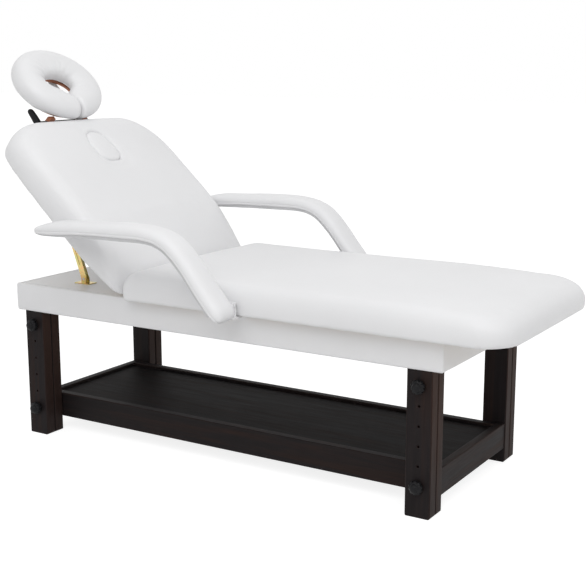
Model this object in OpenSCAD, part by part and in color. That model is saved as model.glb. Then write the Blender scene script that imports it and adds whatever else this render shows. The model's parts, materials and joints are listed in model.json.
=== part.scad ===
// Stationary treatment table: a padded bed on an upholstered box, with a lifting backrest,
// a head cradle, two swinging armrests, telescoping wooden legs and a shelf.
// X runs along the table with the foot end at +X, Y runs across it, and the floor is z = 0.

/* [Box] */
// Length of the upholstered box under the bed
box_len = 1626; // [1500:1:1750]
// Width of the upholstered box
box_w = 668; // [620:1:690]
// Height of the box's top face above the floor at the lowest setting
box_top_z = 537; // [500:1:620]
// Height of the box's sides
box_h = 94.6; // [85:0.1:115]
// Thickness of the box's boards
box_board_t = 18; // [15:1:22]
// Thickness of the platform panel
platform_t = 18; // [15:1:21]

/* [Legs] */
// Width of a leg along the table
leg_w = 81; // [70:1:95]
// Thickness of each of the two boards of a leg
leg_board_t = 39; // [34:1:45]
// Groove between the two boards of a leg
leg_groove = 3; // [2:0.5:5]
// Distance from the box's end face to the leg's end face
leg_end_inset = 33; // [25:1:60]
// Distance from the box's side face to the leg's side face
leg_side_inset = 5; // [3:1:10]
// Bevel on the legs' edges
leg_bevel = 2.5; // [1:0.5:5]
// Distance from hole to hole up the leg
hole_pitch = 60; // [50:1:64]
// Height of the lowest hole
hole_low_z = 95.4; // [85:0.1:110]
// Number of holes in each leg
hole_count = 6; // [4:1:6]
// Diameter of the clamping knobs
knob_d = 34; // [28:1:40]
// How far a knob stands out from its leg
knob_h = 21; // [16:1:28]
// Diameter of a knob's threaded stud
stud_d = 8; // [6:0.5:10]

/* [Shelf] */
// Height of the shelf rails' lower edge above the floor
rail_low_z = 47; // [35:1:70]
// Height of a shelf rail
rail_h = 86; // [70:1:100]
// Thickness of the shelf rails
rail_t = 28; // [20:1:34]
// Gap between a side rail and the leg beside it
rail_leg_gap = 5; // [3:1:12]
// Thickness of the shelf panel
shelf_t = 16; // [12:1:20]
// Depth of the panel's face below the rails' top
shelf_recess = 10; // [5:1:16]

/* [Bed] */
// Width of the padded bed
bed_w = 757; // [745:1:765]
// Height of the bed from its underside to the shoulder
bed_t = 92.5; // [85:0.5:105]
// Extra height of the crown along the middle
bed_crown = 5; // [3:0.5:10]
// X of the seat's foot end
seat_foot_x = 1013; // [950:1:1080]
// Gap in X from the hinge axis to the seat's head end
seat_hinge_gap = 6; // [5:0.1:9]
// Plan corner radius of the seat's foot end
seat_foot_r = 110; // [90:1:130]
// Plan corner radius of the seat's head end
seat_head_r = 32; // [25:1:60]
// How far the seat's top falls at the foot end
seat_foot_fall = 18; // [5:1:30]
// Thickness of the seat's board and the backrest's panel
bed_board_t = 12; // [9:1:15]
// Thickness of the padding round the sides of the boards
skirt_t = 16; // [12:1:20]

/* [Backrest] */
// Angle of the backrest from the flat bed, as shown
back_tilt = 42; // [35:1:48]
// X of the hinge line between seat and backrest
hinge_x = -319; // [-330:1:-305]
// Height of the hinge line above the box
hinge_up = 4; // [3.9:0.1:5]
// Length of the backrest from the hinge line to its head end
back_len = 737; // [725:1:740]
// Length of the head end's corner curves along the backrest
back_corner_len = 190; // [150:1:230]
// Width of the head end's corner curves
back_corner_w = 160; // [120:1:178]
// Height of the backrest's frame rails
back_rail_h = 38; // [36:1:42]
// Width of the backrest's frame rails
back_rail_w = 40; // [30:1:46]
// Length of the face opening
face_len = 150; // [130:1:160]
// Width of the face opening
face_w = 114; // [100:1:130]
// Distance from the face opening to the backrest's head end
face_inset = 84; // [80:1:100]

/* [Head cradle] */
// Width of the ring cushion
ring_w = 380; // [360:1:400]
// Length of the ring cushion
ring_len = 316; // [300:1:322]
// Thickness of the ring cushion
ring_t = 80; // [60:1:90]
// Width of the ring cushion's roll
roll_w = 112; // [95:1:118]
// Distance from the backrest's head end to the middle of the ring
ring_out = 137; // [136:1:165]
// Height of the ring's middle above the hinge line's plane
ring_up = 114; // [113:1:125]
// Angle of the ring above the backrest's own angle
ring_tilt = 4; // [0:1:8]
// Distance from the backrest's head end to the cradle's cross bar
bar_out = 29; // [24:1:38]
// Height of the cross bar above the hinge line's plane
bar_up = 26; // [22:1:27]
// Diameter of the cross bar
bar_d = 22; // [18:1:24]
// Diameter of the two sliding rods
rod_d = 12; // [10:0.5:13]
// Distance of each rod from the middle
rod_y = 112; // [108:1:115]

/* [Armrests] */
// Distance from the middle to an armrest's inner face
arm_in_y = 400; // [396:1:410]
// Width of an armrest
arm_w = 100; // [80:1:115]
// Diameter of the armrests' pivot bolts
arm_bolt_d = 12; // [10:0.5:14]

/* [Struts] */
// Share of the backrest's length at which the struts hold it
strut_share = 0.81; // [0.78:0.01:0.84]
// Height of the struts' lower pivot above the box
strut_up = 16; // [15.5:0.1:17]
// Distance of the struts from the middle
strut_y = 213; // [195:1:230]
// Depth of a strut's channel
strut_depth = 24; // [20:1:25]
// Diameter of the struts' pivot pins
strut_pin_d = 8; // [6:0.5:9]
// Angle of the struts above the box, as shown
strut_lean = 70.1; // [66:0.1:74]

/* [Hidden] */
$fn = 48;

// Clearances and the overrun of cuts
gap = 0.3;
run_fit = 0.05;
over = 1;

// Places of the box and its legs
box_low_z = box_top_z - box_h;
box_in_y = box_w / 2 - box_board_t;
platform_low_z = box_top_z - platform_t;
leg_x = box_len / 2 - leg_end_inset - leg_w / 2;
outer_leg_y = box_w / 2 - leg_side_inset;
outer_leg_in_y = outer_leg_y - leg_board_t;
inner_leg_y = outer_leg_in_y - leg_groove;
inner_leg_in_y = inner_leg_y - leg_board_t;
inner_leg_top_gap = 14;
inner_leg_h = platform_low_z - inner_leg_top_gap;
foot_bevel = 4;
hole_high_z = hole_low_z + hole_pitch * (hole_count - 1);

// The track inside an inner leg, which takes the stud and its nut
track_w = stud_d + 1;
track_lip = 10;
nut_w = 2 * stud_d;
nut_t = 7.4;
track_nut_depth = nut_t + 2 * gap;
track_drop = 14;
stud_reach = leg_groove + track_lip + nut_t;

// Places of the shelf
rail_y = inner_leg_in_y - rail_leg_gap;
rail_end_inset = 3.4;
rail_end_x = leg_x + leg_w / 2 - rail_end_inset;
rail_bevel = 2;
rail_top_z = rail_low_z + rail_h;

// Shape of the bed's edges: rounding radius seen from the side, at each kind of edge
side_round = 34;
seat_head_round = 60;
seat_foot_round = 55;
back_head_round = 42;
back_hinge_round = 10;
edge_in = 2;
low_in = 0.6;
side_draw = 2;
edge_low_share = 0.14;
edge_mid_share = 0.34;
edge_steps = 5;
corner_steps = 8;
side_steps = 6;
end_steps = 4;
inner_shares = [0.82, 0.58, 0.3];
corner_min = 12;
fall_len = 380;
bed_y = bed_w / 2;
seat_head_x = hinge_x + seat_hinge_gap;
pocket_t = bed_board_t + gap;

// Backrest, in its own frame: the hinge line is the origin, -X runs to the head end
back_under = -1.5;
back_hinge_in = 4.5;
back_top = back_under + bed_t - gap;
hinge_board_t = 16;
rail_start = 85;
panel_start = 125;
face_start = back_len - face_inset - face_len;
ring_at = back_len + ring_out;
bar_at = back_len + bar_out;
back_panel_z = back_under + back_rail_h;
hinge_z = box_top_z + hinge_up;
taper_len = 265;
taper_start_share = 0.14;
taper_power = 1.25;
hinge_corner_r = 50;
rail_split_y = 200;
plug_gap = 1.5;
plug_ledge = 8;
plug_round = 9;
face_end_r = 45;

// Hinge
hinge_inset = 86;
hinge_y = [hinge_inset - box_in_y, 0, box_in_y - hinge_inset];
hinge_w = 90;
knuckle_w = 28;
knuckle_r = 3.6;
hinge_pin_r = 2.5;
leaf_t = 2;
leaf_len = 34;
leaf_start = 5;

// Struts
strut_len = 270;
strut_plate_t = 2.5;
channel_w = 13;
bar_t = 8;
bar_depth = 20;
ear_t = 3;
ear_r = 10.5;
bracket_len = 66;
bracket_t = 3;
notch_pitch = 16;
notch_count = 11;
notch_start = 60;
slot_w = 5;
strut_top_at = strut_share * back_len;
strut_top_up = 22.6;
strut_body_y = strut_y + channel_w / 2;
strut_top_x = hinge_x - strut_top_at * cos(back_tilt) + strut_top_up * sin(back_tilt);
strut_top_z = hinge_z + strut_top_at * sin(back_tilt) + strut_top_up * cos(back_tilt);
strut_x = strut_top_x + (strut_top_z - box_top_z - strut_up) / tan(strut_lean);

// Armrest centreline from the tip to the lower end: x, height over the floor,
// thickness and the thickness of the board inside, set for the box height as shown
arm_stations = [[-557, 766, 30, 9], [-535, 766, 41, 11], [-480, 768.5, 46, 11],
    [-317, 775, 49, 11], [-200, 778, 52, 11], [-130, 778, 50, 11], [-75, 771, 47, 11],
    [-30, 751, 44, 11], [6, 720, 42, 11], [46, 677, 41, 11], [90, 622, 42, 18], [138, 567, 44, 34]];
arm_ref_z = 537;
arm_steps = 2;
arm_section_steps = 18;
arm_edge_in = 6;
arm_x = 137;
arm_up = 31;
arm_z = box_top_z + arm_up;
arm_plate_t = 6;
arm_plate_gap = 7.7;
arm_plate_w = 32;
arm_plate_in_y = arm_in_y - arm_plate_gap - arm_plate_t;
arm_foot_in_y = 250;
arm_bolt_reach = 66;
arm_head_t = 5;
arm_head_r = 11;
arm_plate_top = 15;

// Head cradle
bar_y = 126;
bar_stud_r = 4;
lever_t = 22;
lever_len = 45;
lever_r = 11;
lever_tip_r = 8;
lever_angle = 41.7;
rod_len = 198;
rod_in_at = bar_at - bar_d / 2 - rod_len;
plate_t = 9;
plate_in = 38;
plate_hole_y = 68;
plate_hole_x = 40;
cheek_in_y = 70;
cheek_out_y = 100;
cheek_loop_w = 14;
cheek_wall = 6;
cheek_t = 14;
strap_y = 31;
strap_w = 34;
strap_t = 2.5;
slit_w = 4;
ring_steps = 40;
ring_section_steps = 18;

// Points along a part of an ellipse, and evenly between two points
function ellipse_arc(cx, cy, a, b, from, to, steps) =
    [for (i = [0:steps]) let (t = from + (to - from) * i / steps) [cx + a * cos(t), cy + b * sin(t)]];
function between(p, q, steps) = [for (i = [1:steps - 1]) p + (q - p) * i / steps];

// Plan outline from x0 to x1 with half-width w; a0, b0 are the corners' radii at x0, a1, b1 at x1
function outline(x0, x1, w, a0, b0, a1, b1) =
    let (c1 = ellipse_arc(x1 - a1, w - b1, a1, b1, 0, 90, corner_steps),
        c2 = ellipse_arc(x0 + a0, w - b0, a0, b0, 90, 180, corner_steps),
        c3 = ellipse_arc(x0 + a0, b0 - w, a0, b0, 180, 270, corner_steps),
        c4 = ellipse_arc(x1 - a1, b1 - w, a1, b1, 270, 360, corner_steps))
    concat(c1, between(c1[corner_steps], c2[0], side_steps), c2,
        between(c2[corner_steps], c3[0], end_steps), c3,
        between(c3[corner_steps], c4[0], side_steps), c4,
        between(c4[corner_steps], c1[0], end_steps));

// The same outline drawn in by i0 at x0, by i1 at x1 and by iw at the sides
function inset_outline(x0, x1, w, a0, b0, a1, b1, i0, i1, iw) =
    let (cut = function(v, i) max(v - i / 2, corner_min), most = w - iw - over)
    outline(x0 + i0, x1 - i1, w - iw, cut(a0, i0), min(cut(b0, iw), most), cut(a1, i1), min(cut(b1, iw), most));

// Triangles between rings of n points, with a fan over each end
function ring_faces(rings, n) = concat(
    [for (i = [0:rings - 2]) for (j = [0:n - 1]) let (k = (j + 1) % n)
        [i * n + j, (i + 1) * n + j, (i + 1) * n + k]],
    [for (i = [0:rings - 2]) for (j = [0:n - 1]) let (k = (j + 1) % n)
        [i * n + j, (i + 1) * n + k, i * n + k]],
    [for (j = [0:n - 1]) [j, (j + 1) % n, rings * n]],
    [for (j = [0:n - 1]) [(rings - 1) * n + (j + 1) % n, (rings - 1) * n + j, rings * n + 1]]);

// Height of the seat's top at a place, and of the backrest's in its own frame
function crown_at(y) = bed_crown * (1 - pow(min(abs(y) / bed_y, 1), 2));
function seat_top(x, y) = box_top_z + bed_t + crown_at(y)
    - seat_foot_fall * pow(max(x - seat_foot_x + fall_len, 0) / fall_len, 2);
function taper_share(u) = u >= taper_len ? 1 : let (s = 1 - max(u - back_hinge_in, 0) / (taper_len - back_hinge_in))
    taper_start_share + (1 - taper_start_share) * pow(1 - pow(s, taper_power), 1 / taper_power);
function back_top_at(x, y) = back_under + (back_top - back_under + crown_at(y)) * taper_share(-x);

// A cushion whose sides rise from z0, bulge, and round over to a crowned top
function is_seat(kind) = kind == "seat";
function top_at(kind, x, y) = is_seat(kind) ? seat_top(x, y) : back_top_at(x, y);
function pad_ring(o, z0, share, kind) =
    [for (p = o) [p[0], p[1], z0 + (top_at(kind, p[0], p[1]) - z0) * share]];
function pad_points(kind, x0, x1, w, a0, b0, a1, b1, r0, r1, z0, pocket) =
    let (o = function(i0, i1, iw) inset_outline(x0, x1, w, a0, b0, a1, b1, i0, i1, iw),
        inner = o(skirt_t, skirt_t, skirt_t),
        top = o(r0, r1, side_round),
        mid = [(x0 + x1) / 2, 0])
    concat([for (p = inner) [p[0], p[1], z0 + pocket]],
        [for (p = inner) [p[0], p[1], z0]],
        [for (p = o(edge_in, edge_in, edge_in)) [p[0], p[1], z0]],
        pad_ring(o(low_in, low_in, low_in + side_draw), z0, edge_low_share, kind),
        [for (i = [0:edge_steps]) let (a = 90 * i / edge_steps, f = 1 - cos(a))
            each pad_ring(o(r0 * f, r1 * f, side_round * f), z0,
                edge_mid_share + (1 - edge_mid_share) * sin(a), kind)],
        [for (s = inner_shares) each pad_ring([for (p = top) mid + (p - mid) * s], z0, 1, kind)],
        [[mid[0], mid[1], z0 + pocket], [mid[0], mid[1], top_at(kind, mid[0], mid[1])]]);
outline_count = 4 * (corner_steps + 1) + 2 * (side_steps - 1) + 2 * (end_steps - 1);
pad_rings = 5 + edge_steps + len(inner_shares);

// Smooth curve through stations, with steps points for each span
function spline(p, i, t) = let (a = p[max(i - 1, 0)], b = p[i], c = p[i + 1], d = p[min(i + 2, len(p) - 1)])
    0.5 * (2 * b + (c - a) * t + (2 * a - 5 * b + 4 * c - d) * t * t + (3 * b - a - 3 * c + d) * t * t * t);
function curve(p, steps) = concat([for (i = [0:len(p) - 2]) for (k = [0:steps - 1]) spline(p, i, k / steps)],
    [p[len(p) - 1]]);
function unit(v) = v / norm(v);
function side_of(p, i) = let (d = unit([for (k = [0, 1]) p[min(i + 1, len(p) - 1)][k] - p[max(i - 1, 0)][k]]))
    [-d[1], d[0]];
function signed_pow(v, e) = sign(v) * pow(abs(v), e);

// Rounded board outline for extruding, w by h with bevelled edges
module bevel_rect(w, h, c) {
    polygon([[-w / 2 + c, -h / 2], [w / 2 - c, -h / 2], [w / 2, -h / 2 + c], [w / 2, h / 2 - c],
        [w / 2 - c, h / 2], [-w / 2 + c, h / 2], [-w / 2, h / 2 - c], [-w / 2, -h / 2 + c]]);
}

// Leg boards
module foot_profile(w, h) {
    polygon([[-w / 2 + foot_bevel, 0], [w / 2 - foot_bevel, 0], [w / 2, foot_bevel], [w / 2, h],
        [-w / 2, h], [-w / 2, foot_bevel]]);
}

module inner_leg(sx, sy) {
    color("#3a2a28") translate([sx * leg_x, sy * (inner_leg_y - leg_board_t / 2), 0]) difference() {
        intersection() {
            linear_extrude(inner_leg_h) bevel_rect(leg_w, leg_board_t, leg_bevel);
            rotate([90, 0, 0]) linear_extrude(2 * leg_board_t, center = true) foot_profile(leg_w, inner_leg_h);
        }
        translate([-track_w / 2, sy > 0 ? leg_board_t / 2 - track_lip - over : -leg_board_t / 2 - over,
            hole_low_z - track_drop])
            cube([track_w, track_lip + 2 * over, inner_leg_h]);
        translate([-nut_w / 2 - gap,
            sy > 0 ? leg_board_t / 2 - track_lip - track_nut_depth : -leg_board_t / 2 + track_lip,
            hole_low_z - track_drop])
            cube([nut_w + 2 * gap, track_nut_depth, inner_leg_h]);
    }
}

module outer_leg(sx, sy) {
    tongue_t = box_in_y - outer_leg_in_y;
    color("#443230") translate([sx * leg_x, sy * (outer_leg_y - leg_board_t / 2), 0]) difference() {
        union() {
            intersection() {
                linear_extrude(box_low_z) bevel_rect(leg_w, leg_board_t, leg_bevel);
                rotate([90, 0, 0]) linear_extrude(2 * leg_board_t, center = true) foot_profile(leg_w, box_low_z);
            }
            translate([-leg_w / 2 + leg_bevel, sy > 0 ? -leg_board_t / 2 : leg_board_t / 2 - tongue_t, box_low_z - over])
                cube([leg_w - 2 * leg_bevel, tongue_t, platform_low_z - box_low_z + over]);
        }
        for (k = [0:hole_count - 1])
            translate([0, 0, hole_low_z + k * hole_pitch]) rotate([90, 0, 0])
                cylinder(d = stud_d + 2 * run_fit, h = leg_board_t + 2 * over, center = true);
    }
}

// Knob with a fluted rim, a domed cap, a collar and its threaded stud, built along +Z
module knob() {
    collar_h = 4;
    dome_h = 4;
    flute_r = 3.6;
    flute_count = 10;
    rim_h = knob_h - collar_h - dome_h;
    difference() {
        rotate_extrude() polygon([[0, -stud_reach - leg_board_t], [stud_d / 2, -stud_reach - leg_board_t],
            [stud_d / 2, gap], [knob_d / 3, gap], [knob_d / 3, collar_h], [knob_d / 2 - 1.5 * collar_h / 4, collar_h],
            [knob_d / 2, collar_h + knob_h / 14], [knob_d / 2, collar_h + rim_h - knob_h / 14],
            [knob_d / 2 - knob_h / 14, collar_h + rim_h], [knob_d / 3, collar_h + rim_h + 0.6 * dome_h],
            [knob_d / 6, collar_h + rim_h + 0.9 * dome_h], [0, collar_h + rim_h + dome_h]]);
        for (k = [0:flute_count - 1]) rotate([0, 0, 360 * k / flute_count])
            translate([knob_d / 2 + flute_r / 2, 0, collar_h - over]) cylinder(r = flute_r, h = knob_h);
    }
}
module placed_knob(sx, sy, z) {
    color("#181818") translate([sx * leg_x, sy * outer_leg_y, z]) rotate([sy > 0 ? -90 : 90, 0, 0]) knob();
}
module clamp_nuts() {
    color("#8c8c8c") for (sx = [-1, 1], sy = [-1, 1], z = [hole_low_z, hole_high_z])
        translate([sx * leg_x, sy * (inner_leg_y - track_lip - gap - nut_t / 2), z]) rotate([90, 0, 0]) difference() {
            cube([nut_w, nut_w, nut_t], center = true);
            cylinder(d = stud_d + 2 * run_fit, h = nut_t + 2 * over, center = true);
        }
}

// Shelf
module shelf_side_rail(sy) {
    color("#3f2e2c") translate([0, sy * (rail_y - rail_t / 2), rail_low_z + rail_h / 2]) rotate([90, 0, 90])
        linear_extrude(2 * (rail_end_x - rail_t), center = true) bevel_rect(rail_t, rail_h, rail_bevel);
}
module shelf_end_rail(sx) {
    color("#3f2e2c") translate([sx * (rail_end_x - rail_t / 2), 0, rail_low_z + rail_h / 2]) rotate([90, 0, 0])
        linear_extrude(2 * inner_leg_in_y, center = true) bevel_rect(rail_t, rail_h, rail_bevel);
}
module shelf_panel() {
    color("#2c2120") translate([rail_t - rail_end_x, rail_t - rail_y, rail_top_z - shelf_recess - shelf_t])
        cube([2 * (rail_end_x - rail_t), 2 * (rail_y - rail_t), shelf_t]);
}

// Upholstered box
module box_profile() {
    r = box_board_t / 3;
    polygon([[-box_board_t / 2, -box_h / 2], [box_board_t / 2 - r, -box_h / 2],
        [box_board_t / 2 - 0.3 * r, -box_h / 2 + 0.3 * r], [box_board_t / 2, -box_h / 2 + r],
        [box_board_t / 2, box_h / 2 - r], [box_board_t / 2 - 0.3 * r, box_h / 2 - 0.3 * r],
        [box_board_t / 2 - r, box_h / 2], [-box_board_t / 2, box_h / 2]]);
}
module arm_plate_cut() {
    translate([arm_x - arm_plate_w / 2 - gap, -box_w, box_top_z - arm_plate_t - gap])
        cube([arm_plate_w + 2 * gap, 2 * box_w, arm_plate_t + gap + over]);
}
module box_side(sy) {
    color("#eef0f2") difference() {
        translate([0, sy * (box_in_y + box_board_t / 2), box_low_z + box_h / 2]) rotate([90, 0, sy > 0 ? 90 : -90])
            linear_extrude(box_len, center = true) box_profile();
        arm_plate_cut();
    }
}
module box_end(sx) {
    color("#eef0f2") translate([sx * (box_len / 2 - box_board_t / 2), 0, box_low_z + box_h / 2])
        rotate([90, 0, sx > 0 ? 0 : 180]) linear_extrude(2 * box_in_y, center = true) box_profile();
}
module platform_panel() {
    in_x = box_len / 2 - box_board_t;
    color("#e9ebee") difference() {
        translate([-in_x, -box_in_y, platform_low_z]) cube([2 * in_x, 2 * box_in_y, platform_t]);
        for (y = hinge_y) translate([hinge_x - leaf_start - leaf_len - gap, y - hinge_w / 2 - gap, box_top_z - leaf_t])
            cube([leaf_start + leaf_len + knuckle_r + 2 * gap, hinge_w + 2 * gap, leaf_t + over]);
        for (sy = [-1, 1]) translate([arm_x - arm_plate_w / 2 - gap,
            sy > 0 ? arm_foot_in_y - gap : -box_in_y - over, box_top_z - arm_plate_t - gap])
            cube([arm_plate_w + 2 * gap, box_in_y - arm_foot_in_y + gap + over, arm_plate_t + gap + over]);
    }
}

// Seat
module seat_cushion() {
    color("#f2f4f6") polyhedron(pad_points("seat", seat_head_x, seat_foot_x, bed_y, seat_head_r, seat_head_r,
        seat_foot_r, seat_foot_r, seat_head_round, seat_foot_round, box_top_z, pocket_t),
        ring_faces(pad_rings, outline_count));
}
module seat_board() {
    i = skirt_t + gap;
    color("#b98d5f") translate([0, 0, box_top_z]) linear_extrude(bed_board_t)
        polygon(inset_outline(seat_head_x, seat_foot_x, bed_y, seat_head_r, seat_head_r,
            seat_foot_r, seat_foot_r, i, i, i));
}

// Backrest: everything below is drawn flat and lifted about the hinge line
module on_back() {
    translate([hinge_x, 0, hinge_z]) rotate([0, back_tilt, 0]) children();
}
function back_outline(i) = inset_outline(-back_len, -back_hinge_in, bed_y, back_corner_len, back_corner_w,
    hinge_corner_r, hinge_corner_r, i, i, i);
function face_outline(i) = inset_outline(-face_start - face_len, -face_start, face_w / 2, face_w / 2, face_w / 2,
    face_end_r, face_end_r, i, i, i);

module rod_holes(r) {
    for (sy = [-1, 1]) translate([-bar_at, sy * rod_y, bar_up]) rotate([0, 90, 0])
        cylinder(r = r, h = bar_at - rod_in_at);
}
module back_leaf_cut() {
    for (y = hinge_y) translate([-leaf_start - leaf_len - 2 * gap, y - hinge_w / 2 - gap, back_under - over])
        cube([leaf_start + leaf_len + 2 * gap, hinge_w + 2 * gap, over + leaf_t + 2 * gap]);
}
module back_area(start) {
    intersection() {
        polygon(back_outline(skirt_t + gap));
        translate([-back_len, -bed_y]) square([back_len - start, bed_w]);
    }
}
module back_pocket(start, h) {
    translate([0, 0, back_under - over]) linear_extrude(h + over) offset(delta = gap) back_area(start + gap);
}
module back_cushion() {
    color("#f2f4f6") on_back() difference() {
        polyhedron(pad_points("back", -back_len, -back_hinge_in, bed_y, back_corner_len, back_corner_w,
            hinge_corner_r, hinge_corner_r, back_head_round, back_hinge_round, back_under,
            hinge_board_t + gap), ring_faces(pad_rings, outline_count));
        back_pocket(rail_start - gap, back_rail_h + gap);
        back_pocket(panel_start - gap, back_rail_h + bed_board_t + gap);
        translate([0, 0, back_panel_z]) linear_extrude(bed_t) polygon(face_outline(0));
        rod_holes(rod_d / 2 + 2 * gap);
        back_leaf_cut();
    }
}
module back_panel() {
    color("#b98d5f") on_back() translate([0, 0, back_panel_z]) difference() {
        linear_extrude(bed_board_t) back_area(panel_start);
        translate([0, 0, -over]) linear_extrude(bed_board_t + 2 * over) polygon(face_outline(plug_ledge));
    }
}
module back_ring() {
    linear_extrude(back_rail_h) difference() {
        polygon(back_outline(skirt_t + gap));
        polygon(back_outline(skirt_t + gap + back_rail_w));
    }
}
module rail_window(x0, x1, y0, y1) {
    translate([x0, y0, -over]) cube([x1 - x0, y1 - y0, back_rail_h + 2 * over]);
}
back_mid = back_len / 2;
module back_rail_head() {
    color("#b98d5f") on_back() difference() {
        translate([0, 0, back_under]) intersection() {
            back_ring();
            rail_window(-back_len, -back_mid, -rail_split_y, rail_split_y);
        }
        rod_holes(rod_d / 2 + run_fit);
    }
}
// A flat board at the hinge end, which the side rails lie over
module hinge_board() {
    translate([0, 0, back_under]) linear_extrude(hinge_board_t) difference() {
        back_area(0);
        back_area(panel_start);
    }
}
module back_rail_hinge() {
    color("#b98d5f") on_back() difference() {
        hinge_board();
        back_leaf_cut();
    }
}
module back_side_rail(sy) {
    color("#b98d5f") on_back() difference() {
        translate([0, 0, back_under]) intersection() {
            back_ring();
            rail_window(-back_len, -rail_start, sy > 0 ? rail_split_y : -bed_y, sy > 0 ? bed_y : -rail_split_y);
        }
        translate([-panel_start, -bed_y, back_under - over]) cube([panel_start, bed_w, hinge_board_t + over]);
    }
}

// Plug for the face opening: a small crowned pad on the ledge of the panel
function plug_ring(i, z) = [for (p = face_outline(plug_gap + i)) [p[0], p[1], z]];
function plug_top_ring(i, drop) = [for (p = face_outline(plug_gap + i))
    [p[0], p[1], back_top_at(p[0], p[1]) - drop]];
module face_plug() {
    z0 = back_panel_z + bed_board_t + gap;
    mid = [-face_start - face_len / 2, 0];
    top = [for (p = face_outline(plug_gap + plug_round)) [p[0], p[1], back_top_at(p[0], p[1])]];
    points = concat(plug_ring(edge_in, z0), plug_ring(0, z0 + edge_in),
        plug_top_ring(0, plug_round), plug_top_ring(0.3 * plug_round, 0.3 * plug_round), top,
        [for (p = top) let (q = mid + ([p[0], p[1]] - mid) / 2) [q[0], q[1], back_top_at(q[0], q[1]) + plug_gap]],
        [[mid[0], mid[1], z0], [mid[0], mid[1], back_top_at(mid[0], mid[1]) + 1.2 * plug_gap]]);
    color("#f2f4f6") on_back() polyhedron(points, ring_faces(6, outline_count));
}

// Hinges between the box and the backrest
module knuckle(w) {
    rotate([90, 0, 0]) cylinder(r = knuckle_r, h = w, center = true);
}
module hinge_bore() {
    rotate([90, 0, 0]) cylinder(r = hinge_pin_r + run_fit, h = hinge_w + 2 * over, center = true);
}
module hinge_box_leaves() {
    color("#c9c9c4") for (y = hinge_y) translate([hinge_x, y, hinge_z]) difference() {
        union() {
            for (sy = [-1, 1]) translate([0, sy * (hinge_w - knuckle_w) / 2, 0]) {
                knuckle(knuckle_w);
                translate([-knuckle_r, -knuckle_w / 2, -hinge_up - leaf_t]) cube([2 * knuckle_r, knuckle_w, hinge_up + leaf_t]);
            }
            translate([-leaf_start - leaf_len, -hinge_w / 2, -hinge_up - leaf_t])
                cube([leaf_start + leaf_len + knuckle_r, hinge_w, leaf_t]);
        }
        hinge_bore();
    }
}
module hinge_back_leaves() {
    tab_w = hinge_w - 2 * knuckle_w - 2 * over;
    color("#c9c9c4") on_back() for (y = hinge_y) translate([0, y, 0]) difference() {
        union() {
            knuckle(tab_w);
            translate([-leaf_start - over, -tab_w / 2, back_under + gap]) cube([leaf_start + over, tab_w, leaf_t]);
            translate([-leaf_start - leaf_len, -hinge_w / 2, back_under + gap]) cube([leaf_len, hinge_w, leaf_t]);
        }
        hinge_bore();
    }
}
module hinge_pins() {
    color("#b0b0ac") for (y = hinge_y) translate([hinge_x, y, hinge_z]) rotate([90, 0, 0])
        cylinder(r = hinge_pin_r, h = hinge_w, center = true);
}

// Struts: a slotted channel on the box and a toothed bar on the backrest, side by side
module ratchet_slot() {
    for (k = [0:notch_count - 1]) translate([notch_start + k * notch_pitch, 0]) {
        polygon([[-notch_pitch / 2, -slot_w / 2], [notch_pitch / 2, -slot_w / 2], [notch_pitch / 2, slot_w / 2],
            [notch_pitch / 6, strut_depth / 4], [-notch_pitch / 6, strut_depth / 4], [-notch_pitch / 2, slot_w / 2]]);
    }
}
module channel_cheek() {
    difference() {
        union() {
            circle(d = strut_depth);
            translate([0, -strut_depth / 2]) square([strut_len, strut_depth]);
        }
        circle(d = strut_pin_d + 2 * run_fit);
        ratchet_slot();
    }
}
module strut_channel(sy) {
    color("#c8a83a") translate([strut_x, sy * strut_y, box_top_z + strut_up]) rotate([0, strut_lean, 0])
        rotate([90, 0, 180]) {
            for (s = [-1, 1]) translate([0, 0, s * (channel_w - strut_plate_t) / 2])
                linear_extrude(strut_plate_t, center = true) channel_cheek();
            translate([strut_depth / 2, strut_depth / 2 - strut_plate_t, -channel_w / 2])
                cube([strut_len - strut_depth / 2, strut_plate_t, channel_w]);
        }
}
module strut_bar(sy) {
    color("#bfa035") translate([strut_top_x, sy * (strut_body_y + gap + bar_t / 2), strut_top_z]) rotate([0, strut_lean, 0])
        rotate([90, 0, 180]) linear_extrude(bar_t, center = true) difference() {
            union() {
                circle(d = bar_depth);
                translate([-strut_len, -bar_depth / 2]) square([strut_len, bar_depth]);
            }
            circle(d = strut_pin_d + 2 * run_fit);
            for (k = [0:notch_count - 1]) translate([-strut_len + notch_pitch + k * notch_pitch, bar_depth / 2])
                polygon([[-notch_pitch / 4, over], [-notch_pitch / 4, -bar_depth / 5], [0, -bar_depth / 5],
                    [notch_pitch / 3, over]]);
        }
}
module ear(r, h) {
    linear_extrude(ear_t, center = true) difference() {
        union() {
            circle(r = r);
            translate([-r, -h]) square([2 * r, h]);
        }
        circle(d = strut_pin_d + 2 * run_fit);
    }
}
module strut_base_brackets() {
    w = channel_w + 2 * gap + 2 * ear_t;
    color("#c8a83a") for (sy = [-1, 1]) translate([strut_x, sy * strut_y, box_top_z]) {
        translate([-bracket_len / 2, -w, 0]) cube([bracket_len, 2 * w, bracket_t]);
        for (s = [-1, 1]) translate([0, s * (w - ear_t) / 2, strut_up]) rotate([90, 0, 0]) ear(ear_r, strut_up - over);
    }
}
module strut_base_pins() {
    reach = channel_w + 2 * gap + 2 * ear_t + 2 * over;
    color("#d8d8d4") for (sy = [-1, 1]) translate([strut_x, sy * strut_y, box_top_z + strut_up]) rotate([90, 0, 0])
        cylinder(d = strut_pin_d, h = reach, center = true);
}
module at_strut_top(sy) {
    on_back() translate([-strut_top_at, sy * (strut_body_y + gap + bar_t / 2), strut_top_up]) children();
}
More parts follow.
